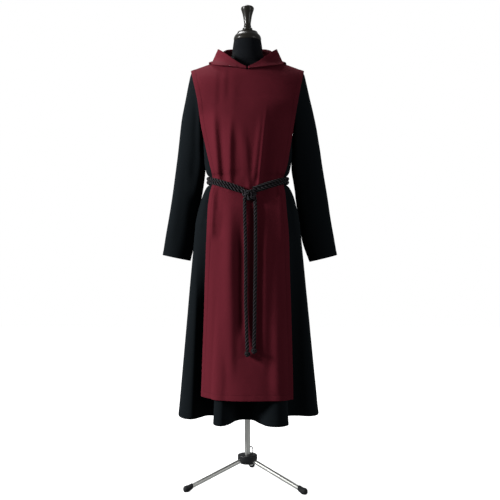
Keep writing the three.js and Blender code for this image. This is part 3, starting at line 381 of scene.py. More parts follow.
# Turned pieces, as rows of radius and height.
CAP_PROFILE = (
    (0, 1581), (45, 1581), (47.6, 1581.8), (48.8, 1584), (49, 1587), (48.4, 1592), (46.4, 1597),
    (43.2, 1601.6), (39.4, 1605.4), (36.6, 1608.6), (35.6, 1612), (34.6, 1613.3), (0, 1613.5),
)
FINIAL_PROFILE = (
    (0, 1613.9), (15.6, 1613.9), (16, 1614.6), (15.4, 1616), (14.6, 1616.8), (15, 1617.8),
    (16.9, 1619), (17.9, 1621.4), (17.9, 1624), (16.8, 1626.4), (14.4, 1628.2), (12.6, 1629.6),
    (12.2, 1631), (13.1, 1632.4), (13.1, 1635.2), (12.2, 1637), (11.9, 1640), (12.2, 1646),
    (13.6, 1656), (15.4, 1667), (17.6, 1677), (20.4, 1686), (22.4, 1692), (23.2, 1696),
    (22.7, 1699.4), (20.8, 1702.4), (17, 1705), (11.6, 1707.2), (5.6, 1708.3), (0, 1708.6),
)
HUB_PROFILE = (
    (0, 74), (25, 74), (26.8, 75), (27.7, 77), (28, 82.6), (28.6, 83.3), (33, 84), (34.5, 85.6),
    (35, 88), (35, 99.6), (34.2, 100.2), (34.2, 101), (35, 101.6), (34.8, 103.2), (33.8, 104.8),
    (32, 105.8), (30.6, 106), (17, 106), (16.2, 106.4), (16, 107.6), (15.6, 108), (10.9, 108),
    (10.6, 107.6), (10.6, 95.6), (0, 95.6),
)
SOCKET_PROFILE = (
    (10.6, 806), (16.4, 806), (17, 806.6), (17, 823.4), (17.8, 824), (45.2, 826), (46, 826.8),
    (46, 831), (45.4, 831.6), (10.6, 831.6), (10.6, 806),
)
POLE_RADIUS, POLE_BOTTOM, POLE_TOP = 10, 96, 831.6
LEG_RADIUS = 7.5
LEGS = {"1": -64.5, "2": 56.5, "3": 176}
FOOT_REACH = 232.5
HUB_LOOP = ((-6.4, 0), (-7, 7), (-6.6, 14), (-4.4, 19.6), (0, 22.4), (4.4, 19.6), (6.6, 14),
            (7, 7), (6.4, 0))
HUB_LOOP_AT = (12.5, -19, 106.4)
HUB_WIRE = 1.7
LEG_START = (22, 87)        # reach and height
LEG_END_BACK, LEG_END_Z = 5, 11.8
# The foot's sections from the leg outwards, each as how far out, height and half width.
FOOT_SECTIONS = (
    (-21, 17.7, 9.4), (-20, 17.3, 10), (-12, 13.8, 11.2), (-5, 10.6, 11.8),
    (2, 10.2, 11.6), (7, 9.7, 10.6), (10, 9.3, 7.6),
)

# The stage, in metres.
CAMERA_AT = (0.009, -3.0, 0.835)
FRAME_WIDTH = 36            # of the camera, in millimetres
# Each light's place, the point that it is aimed at, and its size.
KEY_LIGHT = (-3.55, -1.2, 2.1), (0, 0, 1.05), 1.0
FILL_LIGHT = (2.6, -1.9, 1.5), (0, 0, 0.9), 1.4
TOP_LIGHT = (-0.6, 0.9, 3.3), (0, 0, 1.3), 1.0
TOP_SHARE = 0.2             # of the key light's power
FLOOR_HALF = 6


def colour(name, default, description):
    return bpy.props.FloatVectorProperty(
        name=name, default=default, description=description, subtype="COLOR", size=3,
        min=0, max=1)


def length(name, default, description):
    return bpy.props.FloatProperty(
        name=name, default=default, description=description, unit="LENGTH", precision=4)


class HabitCloth(bpy.types.PropertyGroup):
    """Cloth of the tunic and the scapular."""

    tunic: colour("Tunic", (0.0066, 0.0092, 0.0112), "Colour of the tunic's wool")
    scapular: colour("Scapular", (0.150, 0.0172, 0.0290), "Colour of the scapular and hood")
    wall: length("Wall", CLOTH * MM, "Thickness of the cloth")
    twill: length("Twill", 0.0012, "Spacing of the weave's diagonal ribs")


class HabitRope(bpy.types.PropertyGroup):
    """Rope of the belt."""

    rope: colour("Rope", (0.0043, 0.0040, 0.0046), "Colour of the rope's cotton")
    diameter: length("Diameter", ROPE * MM, "Thickness of the rope")
    lay: length("Lay", LAY * MM, "Length in which a strand goes once round the rope")


class HabitStand(bpy.types.PropertyGroup):
    """Dress form and its stand."""

    jersey: colour("Jersey", (0.0085, 0.0100, 0.0125), "Colour of the form's cover")
    lacquer: colour("Lacquer", (0.0130, 0.0110, 0.0075), "Colour of the turned cap and finial")
    steel: colour("Steel", (0.9, 0.91, 0.83), "Colour of the pole and legs")
    plastic: colour("Plastic", (0.0140, 0.0150, 0.0165), "Colour of the hub and feet")


class HabitStage(bpy.types.PropertyGroup):
    """Floor, light and camera."""

    key: bpy.props.FloatProperty(
        name="Key", default=165, description="Power of the large light in front, to the left")
    fill: bpy.props.FloatProperty(
        name="Fill", default=13, description="Power of the weak light to the right")
    sky: bpy.props.FloatProperty(
        name="Sky", default=0.065, description="Strength of the light from all round")
    mirrored: bpy.props.FloatProperty(
        name="Mirrored", default=0.25, description="Strength of the white seen in reflections")
    lens: bpy.props.FloatProperty(
        name="Lens", default=60.48, description="Focal length, in millimetres of a 36 mm frame")


# ---------------------------------------------------------------- shader maths


class Shade:
    """A node's output that Python's operators do sums with."""

    def __init__(self, surface, socket):
        self.surface = surface
        self.socket = socket

    def _math(self, operation, first, second=None):
        values = {0: first} if second is None else {0: first, 1: second}
        return self.surface.node("Math", {"operation": operation}, values)

    def __add__(self, other):
        return self._math("ADD", self, other)

    __radd__ = __add__

    def __sub__(self, other):
        return self._math("SUBTRACT", self, other)

    def __rsub__(self, other):
        return self._math("SUBTRACT", other, self)

    def __mul__(self, other):
        return self._math("MULTIPLY", self, other)

    __rmul__ = __mul__

    def __truediv__(self, other):
        return self._math("DIVIDE", self, other)

    def __abs__(self):
        return self._math("ABSOLUTE", self)

    def sine(self):
        return self._math("SINE", self)

    def fraction(self):
        return self._math("FRACT", self)

    def above(self, other):
        return self._math("GREATER_THAN", self, other)

    def between(self, low, high):
        """0 below low, 1 above high and smooth between them."""
        settings = {"interpolation_type": "SMOOTHSTEP"}
        values = {"Value": self, "From Min": low, "From Max": high}
        return self.surface.node("MapRange", settings, values)


class Surface:
    """A material whose nodes are made by one method."""

    def __init__(self, name, **shader):
        self.material = bpy.data.materials.new(name)
        self.material.use_nodes = True
        self.tree = self.material.node_tree
        self.tree.nodes.clear()
        self.principled = self.tree.nodes.new("ShaderNodeBsdfPrincipled")
        output = self.tree.nodes.new("ShaderNodeOutputMaterial")
        self.tree.links.new(self.principled.outputs[0], output.inputs[0])
        for socket, value in shader.items():
            self.set(socket.replace("_", " ").title().replace("Ior", "IOR"), value)

    def _input(self, node, key, value):
        if isinstance(key, int):
            socket = node.inputs[key]
        else:
            named = [s for s in node.inputs if s.identifier == key or s.name == key]
            socket = next(s for s in named if s.enabled)
        if isinstance(value, Shade):
            self.tree.links.new(value.socket, socket)
        else:
            socket.default_value = value

    def node(self, kind, settings=None, values=None, out=0):
        """Adds a node, sets it up, then gives its sockets their values or links."""
        node = self.tree.nodes.new("ShaderNode" + kind)
        for key, value in (settings or {}).items():
            setattr(node, key, value)
        for key, value in (values or {}).items():
            self._input(node, key, value)
        if isinstance(out, str):
            return Shade(self, next(s for s in node.outputs if s.name == out and s.enabled))
        return Shade(self, node.outputs[out])

    def set(self, socket, value):
        self._input(self.principled, socket, value)

    def place(self):
        return self.node("TexCoord", out="Object")

    def layer(self, name):
        """The x and y of one of the mesh's UV layers."""
        split = self.node("SeparateXYZ", values={0: self.node("UVMap", {"uv_map": name})})
        return split, Shade(self, split.socket.node.outputs[1])

    def noise(self, vector, scale, detail=2.0, roughness=0.5, stretch=(1, 1, 1)):
        """Cloudy noise from 0 to 1, with this many waves a metre."""
        if stretch != (1, 1, 1):
            vector = self.node("Mapping", values={"Vector": vector, "Scale": stretch})
        values = {"Vector": vector, "Scale": scale, "Detail": detail, "Roughness": roughness}
        return self.node("TexNoise", values=values, out="Fac")

    def tint(self, factor, first, second):
        """A colour from first to second as factor goes from 0 to 1."""
        first, second = ((*c, 1) if isinstance(c, tuple) else c for c in (first, second))
        settings = {"data_type": "RGBA"}
        values = {"Factor_Float": factor, "A_Color": first, "B_Color": second}
        return self.node("Mix", settings, values, out="Result")

    def bump(self, height, distance, strength=1.0, under=None):
        values = {"Height": height, "Distance": distance, "Strength": strength}
        if under is not None:
            values["Normal"] = under
        return self.node("Bump", values=values)


def shaded(rgb, factor):
    return tuple(min(channel * factor, 1) for channel in rgb)


def wool(name, rgb, twill, sheen, fleck):
    """Woollen twill: diagonal ribs, a soft nap, and a stitched turning along its hems."""
    s = Surface(name, roughness=0.86, sheen_weight=sheen, sheen_roughness=0.45,
                specular_ior_level=0.05)
    s.set("Sheen Tint", (*[0.35 + 0.65 * c / max(rgb) for c in rgb], 1))
    across, along_ = s.layer("cut")
    edge, run = s.layer("hem")
    place = s.place()
    cloud = s.noise(place, 9, 3)
    nap = s.noise(place, 260, 3, 0.65)
    fibre = s.noise(place, 1400, 2, 0.6, (1, 1, 0.4))
    rib = (((across + along_) * (2 * math.pi / twill)) + cloud * 2).sine()
    yarn = (across * (2 * math.pi / (twill * 0.8))).sine()
    weave = rib * 0.32 + yarn * 0.12 + 0.5 + (fibre - 0.5) * 0.5
    turn = HEM_TURN * MM
    line = 1 - abs(edge - turn).between(0.0004, 0.0016)
    dash = (run / 0.0034).fraction().above(0.24)
    stitch = line * dash
    crest = 1 - edge.between(0.0, 0.0022)
    # The line of the hem's stitching is darkened as painted shade in its groove.
    light = cloud * 0.26 + nap * 0.34 + weave * 0.30 + crest * 0.10 - line * 0.22 + 0.02
    deep, pale = shaded(rgb, 0.72), shaded(rgb, 1.34 + fleck)
    s.set("Base Color", s.tint(light, deep, pale))
    s.set("Roughness", nap * 0.12 + 0.80)
    soft = s.bump(s.noise(place, 70, 3), 0.0006, 0.5)
    cloth = s.bump(weave, 0.00016, 0.75, soft)
    sewn = s.bump(stitch * 0.6 - line + nap * 0.25, 0.0007, 0.8, cloth)
    s.set("Normal", sewn)
    return s.material


def cotton_rope(name, rgb):
    """Twisted cotton: fine yarns round each strand, a painted highlight on each strand's crown and
    painted shade in the grooves and on the core.
    """
    s = Surface(name, roughness=0.8, sheen_weight=0.04, sheen_roughness=0.5,
                specular_ior_level=0.12)
    around, along_ = s.layer("cut")
    out, _ = s.layer("hem")
    place = s.place()
    nap = s.noise(place, 900, 3, 0.65)
    cloud = s.noise(place, 45, 2)
    yarn = ((around * 9 - along_ * 160) * (2 * math.pi)).sine()
    # Painted highlight: the outer crown of each strand is made many times lighter, and the grooves
    # and the core are painted nearly black as shade.
    crown = out.between(2.2, 2.62)
    light = crown * 0.75 + (yarn * 0.2 + nap * 0.4 + cloud * 0.2) * (crown + 0.1) * 0.5
    s.set("Base Color", s.tint(light, shaded(rgb, 0.02), shaded(rgb, 15)))
    s.set("Roughness", nap * 0.16 + 0.72)
    s.set("Normal", s.bump(yarn * 0.5 + nap, 0.0005, 0.8))
    return s.material


def jersey(name, rgb):
    """Fine knit that covers the dress form."""
    s = Surface(name, roughness=0.9, sheen_weight=0.04, sheen_roughness=0.4,
                specular_ior_level=0.08)
    across, along_ = s.layer("cut")
    place = s.place()
    wale = (across * (2 * math.pi / 0.0011)).sine()
    course = (along_ * (2 * math.pi / 0.0009) + wale * 1.2).sine()
    lint = s.noise(place, 1100, 2, 0.7)
    cloud = s.noise(place, 16, 2)
    light = wale * 0.1 + course * 0.1 + lint * 0.5 + cloud * 0.3
    s.set("Base Color", s.tint(light, shaded(rgb, 0.7), shaded(rgb, 1.5)))
    s.set("Roughness", lint * 0.08 + 0.86)
    s.set("Normal", s.bump(course * wale + lint, 0.0002, 0.7))
    return s.material


def lacquered_wood(name, rgb):
    """Turned wood under black lacquer, its grain just showing, its gloss uneven in patches."""
    s = Surface(name, roughness=0.4, coat_weight=0.4, coat_roughness=0.14,
                specular_ior_level=0.2)
    place = s.place()
    grain = s.noise(place, 60, 4, 0.6, (1, 1, 0.12))
    rings = s.noise(place, 210, 3, 0.6, (1, 1, 0.05))
    smear = s.noise(place, 26, 3)
    light = grain * 0.55 + rings * 0.35
    s.set("Base Color", s.tint(light, shaded(rgb, 0.5), shaded(rgb, 2.1)))
    s.set("Roughness", smear * 0.16 + 0.32)
    s.set("Normal", s.bump(rings + grain, 0.0003, 0.35))
    return s.material


def satin_steel(name, rgb):
    """Drawn steel tube with fine lines along it, dulled by handling."""
    s = Surface(name, metallic=1.0, roughness=0.4)
    place = s.place()
    drawn = s.noise(place, 420, 3, 0.6, (1, 1, 0.03))
    smear = s.noise(place, 24, 4, 0.6)
    light = drawn * 0.5 + smear * 0.4
    s.set("Base Color", s.tint(light, shaded(rgb, 0.82), shaded(rgb, 1.18)))
    s.set("Roughness", drawn * 0.14 + smear * 0.16 + 0.27)
    s.set("Normal", s.bump(drawn, 0.0001, 0.25))
    return s.material


def moulded(name, rgb, roughness):
    """Moulded plastic or rubber with a fine spark grain and scuffed patches."""
    s = Surface(name, roughness=roughness, specular_ior_level=0.45)
    place = s.place()
    grain = s.noise(place, 1600, 2)
    scuff = s.noise(place, 75, 4, 0.7)
    s.set("Base Color", s.tint(scuff, shaded(rgb, 0.7), shaded(rgb, 1.5)))
    s.set("Roughness", scuff * 0.22 + (roughness - 0.11))
    s.set("Normal", s.bump(grain + scuff * 0.6, 0.0002, 0.5))
    return s.material


def ready(name, make, *settings):
    """The material of this name, made once."""
    return bpy.data.materials.get(name) or make(name, *settings)


def tunic_wool():
    cloth = bpy.context.scene.habit_cloth
    return ready("tunic_wool", wool, tuple(cloth.tunic), cloth.twill, 0.02, 0.1)


def scapular_wool():
    cloth = bpy.context.scene.habit_cloth
    return ready("scapular_wool", wool, tuple(cloth.scapular), cloth.twill, 0.05, 0.0)


def rope_cotton():
    return ready("rope_cotton", cotton_rope, tuple(bpy.context.scene.habit_rope.rope))


# ---------------------------------------------------------------- curves and grids


def catmull(points, times, loop=False):
    """Smooth curves through rows of points, with this many steps between each two rows."""
    first, last = 2 * points[0] - points[1], 2 * points[-1] - points[-2]
    ends = [points[-1:], points, points[:2]] if loop else [[first], points, [last]]
    ends = np.concatenate(ends)
    t = (np.arange(times) / times).reshape(-1, *[1] * (points.ndim - 1))
    parts = []
    for a, b, c, d in zip(ends, ends[1:], ends[2:], ends[3:]):
        bend = (2 * a - 5 * b + 4 * c - d) * t**2 + (3 * b - a - 3 * c + d) * t**3
        parts.append(0.5 * (2 * b + (c - a) * t + bend))
    return np.concatenate([*parts, points[:1] if loop else points[-1:]])


def refined(grid, down, across, loop=False):
    """The same surface with more points in it. A loop comes back with its first column again."""
    grid = catmull(grid, down)
    return np.swapaxes(catmull(np.swapaxes(grid, 0, 1), across, loop), 0, 1)


def run_of(points):
    steps = np.linalg.norm(np.diff(points, axis=0), axis=-1)
    return np.concatenate([np.zeros_like(steps[:1]), np.cumsum(steps, axis=0)])


def along(points, steps):
    """Points at equal steps along a smooth curve through the given ones."""
    fine = catmull(np.asarray(points, float), 32)
    run = run_of(fine)
    want = np.linspace(0, run[-1], steps + 1)
    return np.column_stack([np.interp(want, run, column) for column in fine.T])


def spot(x, forward, z):
    """Points from x, how far forward, and height."""
    forward = -np.asarray(forward, float)
    return np.stack(np.broadcast_arrays(np.asarray(x, float), forward, z), axis=-1)


def ease(t):
    t = np.clip(t, 0, 1)
    return t * t * (3 - 2 * t)


def mix(a, b, t):
    return a + (b - a) * t


def unit(vectors):
    return vectors / np.maximum(np.linalg.norm(vectors, axis=-1, keepdims=True), 1e-9)


def facing(grid, loop=False):
    """The normal at each point of a grid. A loop's first and last columns are the same."""
    if loop:
        return facing(np.concatenate([grid[:, -2:-1], grid, grid[:, 1:2]], axis=1))[:, 1:-1]
    return unit(np.cross(np.gradient(grid, axis=1), np.gradient(grid, axis=0)))


def wander(grid, size, seed):
    """Uneven softness from -1 to 1, in clouds of this size, longer than they are wide."""
    scaled = grid / (size, size, size * 2.2) + seed
    flat = [noise.noise(Vector(p)) for p in scaled.reshape(-1, 3)]
    return np.array(flat).reshape(grid.shape[:2])


# ---------------------------------------------------------------- surfaces of the garment

FACES = {1: "front", -1: "back"}


def ridge(x, rise):
    return RIDGE_AT_TIP + rise + SHOULDER_SLOPE * (SHOULDER_TIP - np.abs(x))


def arch(x, z, rise):
    q = np.clip((ridge(x, rise) - z) / ARCH_REACH, 0, 1)
    return np.sqrt(1 - (1 - q) ** 2)


def oval(x, half, depth):
    """How far a section of this half width and depth stands out at x."""
    return depth * (1 - np.clip(np.abs(x) / half, 0, 1) ** SECTION_POWER) ** (1 / SECTION_POWER)


def sided(table, x, z, left="left", right="right"):
    return np.where(np.asarray(x) < 0, table(left, z), table(right, z))


def tunic_reach(x, z, side):
    return oval(x, sided(TUNIC, x, z), TUNIC(FACES[side], z)) * arch(x, z, 0)


def section_xs(z, side, steps):
    """One section of the tunic's panel as x values at equal steps from seam to seam."""
    left, right = TUNIC("left", z), TUNIC("right", z)
    reach = ARMHOLE("x", z) if z > ARMPIT_HEIGHT else math.inf
    turn = np.linspace(-0.5, 0.5, 385) * math.pi
    half = np.where(turn < 0, left, right)
    x = half * np.sign(turn) * np.abs(np.sin(turn)) ** (2 / SECTION_POWER)
    x = np.clip(x, -min(reach, left), min(reach, right))
    run = run_of(np.column_stack([x, oval(x, half, TUNIC(FACES[side], z))]))
    return np.interp(np.linspace(0, run[-1], steps + 1), run, x)


def top_edge(x, rise, neck, side):
    """Height of a panel's top edge: the shoulder, or the neckline between the shoulders."""
    inner = (np.abs(x) / neck["half"]) ** neck["bow"]
    dip = mix(neck[side], ridge(neck["half"], rise), np.minimum(inner, 1))
    return np.where(np.abs(x) >= neck["half"], ridge(x, rise), dip)


def hem_line(side, steps):
    rows = np.array(FRONT_HEM if side > 0 else BACK_HEM, float)
    return along(spot(rows[:, 0], rows[:, 1], HEM_HEIGHT), steps)


def tunic_panel(side, columns, skirt, body, yoke):
    """Rows of points over one panel of the tunic, from the hem to the shoulder."""
    hem = hem_line(side, columns)
    xs = section_xs(HIP_HEIGHT, side, columns)
    hip = spot(xs, side * tunic_reach(xs, HIP_HEIGHT, side), HIP_HEIGHT)
    grid = [mix(hem, hip, i / skirt) for i in range(skirt)]
    for z in body:
        xs = section_xs(z, side, columns)
        grid.append(spot(xs, side * tunic_reach(xs, z, side), z))
    levels = np.arange(ARMPIT_HEIGHT, YOKE_TOP, YOKE_STEP)
    shelves = np.array([section_xs(z, side, columns) for z in levels])
    column = np.arange(columns + 1)
    for i in range(1, yoke + 1):
        climb = math.sin(i / yoke * math.pi / 2)
        top = z = np.full(columns + 1, float(ridge(SHOULDER_TIP, 0)))
        for _ in range(SETTLE_PASSES):
            z = mix(z, mix(ARMPIT_HEIGHT, top, climb), SETTLE_SHARE)
            at = np.clip((z - levels[0]) / YOKE_STEP, 0, len(levels) - 1.001)
            low = at.astype(int)
            x = mix(shelves[low, column], shelves[low + 1, column], at - low)
            top = top_edge(x, 0, TUNIC_NECK, side)
        grid.append(spot(x, side * tunic_reach(x, z, side), z))
    grid = np.array(grid)
    grid[:, [0, -1], 1] -= side * SEAM_GAP / 2
    grid[-1, :, 1] -= side * SEAM_GAP / 2
    return grid


def skirt_reach(x, z, side):
    """Where the tunic's skirt stands out furthest at x, at one height."""
    hem = hem_line(side, SKIRT_STEPS)
    xs = section_xs(HIP_HEIGHT, side, SKIRT_STEPS)
    hip = spot(xs, side * tunic_reach(xs, HIP_HEIGHT, side), z)
    line = mix(hem, hip, (z - HEM_HEIGHT) / (HIP_HEIGHT - HEM_HEIGHT))
    nearness = 1 - ((line[:, 0] - x[:, None]) / NEAR) ** 2
    reach = np.where(nearness > 0, -side * line[:, 1] - FALL_OFF * (1 - nearness), 0)
    return reach.max(axis=1)


def fold_heights(folds, x, z):
    """Sum of folds that start softly and end at the belt or the hem."""
    total = np.zeros(np.broadcast(x, z).shape)
    for top, bottom, start, end, width, height in folds:
        down = (top - z) / (top - bottom)
        bell = np.exp(-(((x - mix(start, end, down)) / width) ** 2))
        total += height * bell * np.clip(np.minimum(ease(down * 2.5), ease((1 - down) * 6)), 0, 1)
    return total


def belt_height(x, side):
    """Height of the belt's middle line at x."""
    across = np.clip(np.abs(x) / BELT["left"], 0, 1)
    return mix(BELT_FRONT if side > 0 else BELT_BACK, BELT_SIDE, across)


def scapular_reach(x, z, side):
    """How far the scapular stands out at x and z."""
    table = SCAPULAR_FRONT if side > 0 else SCAPULAR_BACK
    edge = sided(table, x, z, "left_edge", "right_edge")
    fall = 1 - np.clip(np.abs(x) / sided(table, x, z), 0, 1) ** SECTION_POWER
    hung = edge + (table("middle", z) - edge) * fall
    worn = oval(x, WORN_HALF, TUNIC(FACES[side], z) + SCAPULAR_RISE) * arch(x, z, SCAPULAR_RISE)
    out = mix(hung, worn, ease((z - BLEND_BOTTOM) / (BLEND_TOP - BLEND_BOTTOM)))
    if side > 0:
        out = out + fold_heights(SCAPULAR_FOLDS, x, z)
    return out


def soft_limit(value, limit, soft):
    """The larger of two sizes, rounded over where they meet."""
    return soft * np.logaddexp(value / soft, limit / soft)


def creased(out, x, z, side):
    """Adds the pressed creases to one row of the scapular, clear of the tunic and the belt."""
    under = skirt_reach(x, z, side) if z < HIP_HEIGHT else tunic_reach(x, z, side)
    clear = under + SCAPULAR_RISE
    worn = ease((z - 1320) / 90)
    out = mix(soft_limit(out, clear, 3), out, worn)
    out = out + fold_heights(SCAPULAR_CREASES if side > 0 else SCAPULAR_BACK_CREASES, x, z)
    out = mix(soft_limit(out, clear - 1.5, 1), out, worn)
    round_ = np.clip(np.abs(x) / np.where(x < 0, BELT["left"], BELT["right"]), 0, 1)
    inside = BELT[FACES[side]] * (1 - round_ ** BELT["power"]) ** (1 / BELT["power"]) - ROPE / 2
    beside = np.maximum(np.abs(z - belt_height(x, side)) - ROPE, 0)
    room = np.maximum(inside - 0.6, clear - 1) + beside * 1.6
    return -soft_limit(-out, -room, 1)


def scapular_panel(side, columns, yoke, levels):
    """Rows of points over one panel of the scapular, from the shoulder down to its hem."""
    table = SCAPULAR_FRONT if side > 0 else SCAPULAR_BACK
    across = np.linspace(-1, 1, columns + 1)
    grid = []
    for i in range(yoke + 1):
        climb = math.sin((yoke - i) / yoke * math.pi / 2)
        z = np.full(columns + 1, float(RIDGE_AT_TIP))
        for _ in range(SETTLE_PASSES):
            x = across * sided(table, across, np.minimum(z, SCAPULAR_TOP))
            top = top_edge(x, SCAPULAR_RISE, SCAPULAR_NECK, side)
            z = mix(z, mix(levels[0], top, climb), SETTLE_SHARE)
        out = scapular_reach(x, z, side)
        folds = fold_heights(SCAPULAR_CREASES if side > 0 else SCAPULAR_BACK_CREASES, x, z)
        out = out + folds * ease(i / yoke * 3)
        grid.append(spot(x, side * np.maximum(out, SEAM_GAP / 2 if i == 0 else 0), z))
    for z in levels[1:]:
        x = across * sided(table, across, z)
        out = creased(scapular_reach(x, z, side), x, z, side)
        grid.append(spot(x, side * out, z))
    return np.array(grid)


def clear_of_scapular(points):
    """Moves the hood's points out from the middle of the shoulder, clear of what is under."""
    gap = CLOTH + HOOD_GAP
    moved = points.copy()
    for p in moved:
        side = 1 if p[1] < 0 else -1
        forward = abs(p[1])
        middle = ridge(p[0], SCAPULAR_RISE) - ARCH_REACH
        if p[2] < middle:
            p[1] = -side * max(forward, scapular_reach(p[0], p[2], side) + gap)
            continue
        full = oval(p[0], WORN_HALF, TUNIC(FACES[side], p[2]) + SCAPULAR_RISE) + gap
        radius = math.hypot(forward / full, (p[2] - middle) / (ARCH_REACH + gap))
        top = top_edge(p[0], SCAPULAR_RISE, SCAPULAR_NECK, side)
        covered = ease((top + 3.5 * gap - p[2]) / (2.5 * gap))
        grow = mix(1, 1 / radius, covered) if radius < 1 else 1
        p[1] *= grow
        p[2] = middle + (p[2] - middle) * grow
    return moved


def hood_half(stations, across):
    """Rows of points over the left half of the hood, from the front V to the back seam."""
    lines = {name: np.array([(x, -f, z) for x, f, z in rows], float)
             for name, rows in HOOD_COLUMNS.items()}
    seam, roll, crown, edge = (
        along(lines[name], stations) for name in ("seam", "roll", "crown", "edge"))
    seam = seam + (0, 0, 2)
    puffs = along([(i * 10, puff) for i, puff in enumerate(HOOD_PUFF)], stations)[:, 1]
    inner = mix(roll, crown, 0.5)
    outer = mix(crown, edge, 0.45)
    away = unit((outer - inner) * (1, 1, 0))
    outer = outer + away * puffs[:, None]
    inner = clear_of_scapular(inner)
    grid = []
    for profile in zip(seam, roll, inner, crown, outer, edge):
        row = along(profile, across)
        row[1:] = clear_of_scapular(row[1:])
        grid.append(row)
    grid = np.array(grid)
    relaxed = mix(grid[1:-1, 1:], (grid[:-2, 1:] + grid[2:, 1:]) / 2, 0.5)
    flat = clear_of_scapular(relaxed.reshape(-1, 3))
    grid[1:-1, 1:] = flat.reshape(relaxed.shape)
    return grid


def armhole_loop(sign):
    """The edge that a sleeve is sewn to, from the shoulder down the front and up the back."""
    body = (HIP_HEIGHT, ARMPIT_HEIGHT)
    edges = []
    for side, columns in ((1, 36), (-1, 25)):
        grid = tunic_panel(side, columns, 1, body, 6)
        edges.append(grid[len(body) :, 0 if sign < 0 else -1])
    return np.concatenate([edges[0][::-1], edges[1][1:-1]])


def sleeve_rings(name, sign, rings):
    """Rings of points down a sleeve, the first of them on its armhole."""
    outside, inside = SLEEVES[name]
    loop = armhole_loop(sign)
    turn = 2 * math.pi * np.arange(len(loop)) / len(loop)

    def ring(down):
        outer_z = mix(outside.keys[-1], outside.keys[0], down)
        inner_z = mix(inside.keys[-1], inside.keys[0], down)
        to_outer = (1 + np.cos(turn)) / 2
        x = mix(inside("x", inner_z), outside("x", outer_z), to_outer)
        forward = SLEEVE_HANG("forward", down) + SLEEVE_HANG("depth", down) * np.sin(turn)
        return spot(sign * x, forward, mix(inner_z, outer_z, to_outer))

    shift = loop - ring(0) + (sign * (SEAM_GAP + 0.4), 0, 0)
    downs = np.linspace(0, 1, rings + 1)
    return np.array([ring(d) + shift * (1 - np.clip(d / 0.3, 0, 1)) ** 2 for d in downs])


# ---------------------------------------------------------------- making pieces


def new_bmesh():
    bm = bmesh.new()
    bm.loops.layers.uv.new("cut")
    bm.loops.layers.uv.new("hem")
    return bm


def add_surface(bm, grid, cut=None, hem=None, flip=False):
    """Adds quads through a grid of points in millimetres, with their cut and hem places."""
    rows, columns = grid.shape[0] - 1, grid.shape[1] - 1
    made = bmesh.ops.create_grid(bm, x_segments=columns, y_segments=rows, size=1)["verts"]
    places = {}
    for vert in made:
        i, j = round((vert.co.y + 1) * rows / 2), round((vert.co.x + 1) * columns / 2)
        places[vert] = (i, j)
    faces = list({face for vert in made for face in vert.link_faces})
    for name, values in (("cut", cut), ("hem", hem)):
        if values is None:
            continue
        layer = bm.loops.layers.uv[name]
        for face in faces:
            for loop in face.loops:
                loop[layer].uv = values[places[loop.vert]]
    for face in faces:
        face.smooth = True
    for vert, place in places.items():
        vert.co = Vector(grid[place]) * MM
    if flip:
        bmesh.ops.reverse_faces(bm, faces=faces)


def to_piece(name, bm, material, nodes, weld=0.00002, sharp=None):
    """Turns a bmesh into a piece that stands for its CAD nodes."""
    bmesh.ops.remove_doubles(bm, verts=bm.verts, dist=weld)
    if sharp is not None:
        bmesh.ops.recalc_face_normals(bm, faces=bm.faces)
        for edge in bm.edges:
            edge.smooth = len(edge.link_faces) < 2 or edge.calc_face_angle() < sharp
    mesh = bpy.data.meshes.new(name)
    bm.to_mesh(mesh)
    bm.free()
    mesh.materials.append(material)
    piece = bpy.data.objects.new(name, mesh)
    bpy.context.collection.objects.link(piece)
    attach(piece, "root")
    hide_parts(*nodes)
    return piece


def cloth_piece(name, grid, outward, node, hems, folds=None, loop=False, seed=0.0, soft=1.0,
                slot="tunic"):
    """A wall of cloth on a grid of points, with soft folds, turned hems and an even thickness."""
    across = run_of(np.swapaxes(grid, 0, 1)).T
    down = run_of(grid)
    sides = {
        "first column": (across, down), "last column": (across[:, -1:] - across, down),
        "first row": (down, across), "last row": (down[-1:] - down, across),
    }
    if loop:
        del sides["first column"], sides["last column"]
    edge, run = np.full(across.shape, NO_EDGE), down.copy()
    seam = np.full(across.shape, NO_EDGE)
    for side, (away, beside) in sides.items():
        if side in hems:
            run = np.where(away < edge, beside, run)
            edge = np.minimum(edge, away)
        else:
            seam = np.minimum(seam, away)
    heights = wander(grid, BROAD_CLOUD, seed) * BROAD_RISE * soft
    heights = heights + wander(grid, FINE_CLOUD, seed + 9) * FINE_RISE * soft
    if folds is not None:
        heights = heights + folds
    heights = heights * ease(seam / SEAM_FLAT)
    heights += ease((HEM_TURN + 1.5 - edge) / 3) * HEM_STEP
    heights -= np.exp(-(((edge - HEM_TURN) / 2.4) ** 2)) * HEM_STEP
    grid = grid + facing(grid, loop) * (outward * heights)[..., None]
    bm = new_bmesh()
    cut = np.stack([across - across[:, -1:] / 2, down], axis=-1) * MM
    add_surface(bm, grid, cut, np.stack([edge, run], axis=-1) * MM, flip=outward < 0)
    area = sum(face.calc_area() for face in bm.faces)
    material = tunic_wool() if slot == "tunic" else scapular_wool()
    piece = to_piece(name, bm, material, [node])
    wall = piece.modifiers.new("Wall", "SOLIDIFY")
    wall.thickness = bpy.context.scene.habit_cloth.wall
    wall.offset = -1
    wall.use_quality_normals = True
    return piece


def frames_along(line):
    """Two directions across a line that don't turn about it."""
    ahead = unit(np.gradient(line, axis=0))
    first = np.cross(ahead[0], (0.0, 0.0, 1.0))
    if np.linalg.norm(first) < 0.2:
        first = np.cross(ahead[0], (1.0, 0.0, 0.0))
    across = [first]
    for direction in ahead[1:]:
        across.append(across[-1] - direction * (across[-1] @ direction))
    across = unit(np.array(across))
    return across, np.cross(ahead, across)


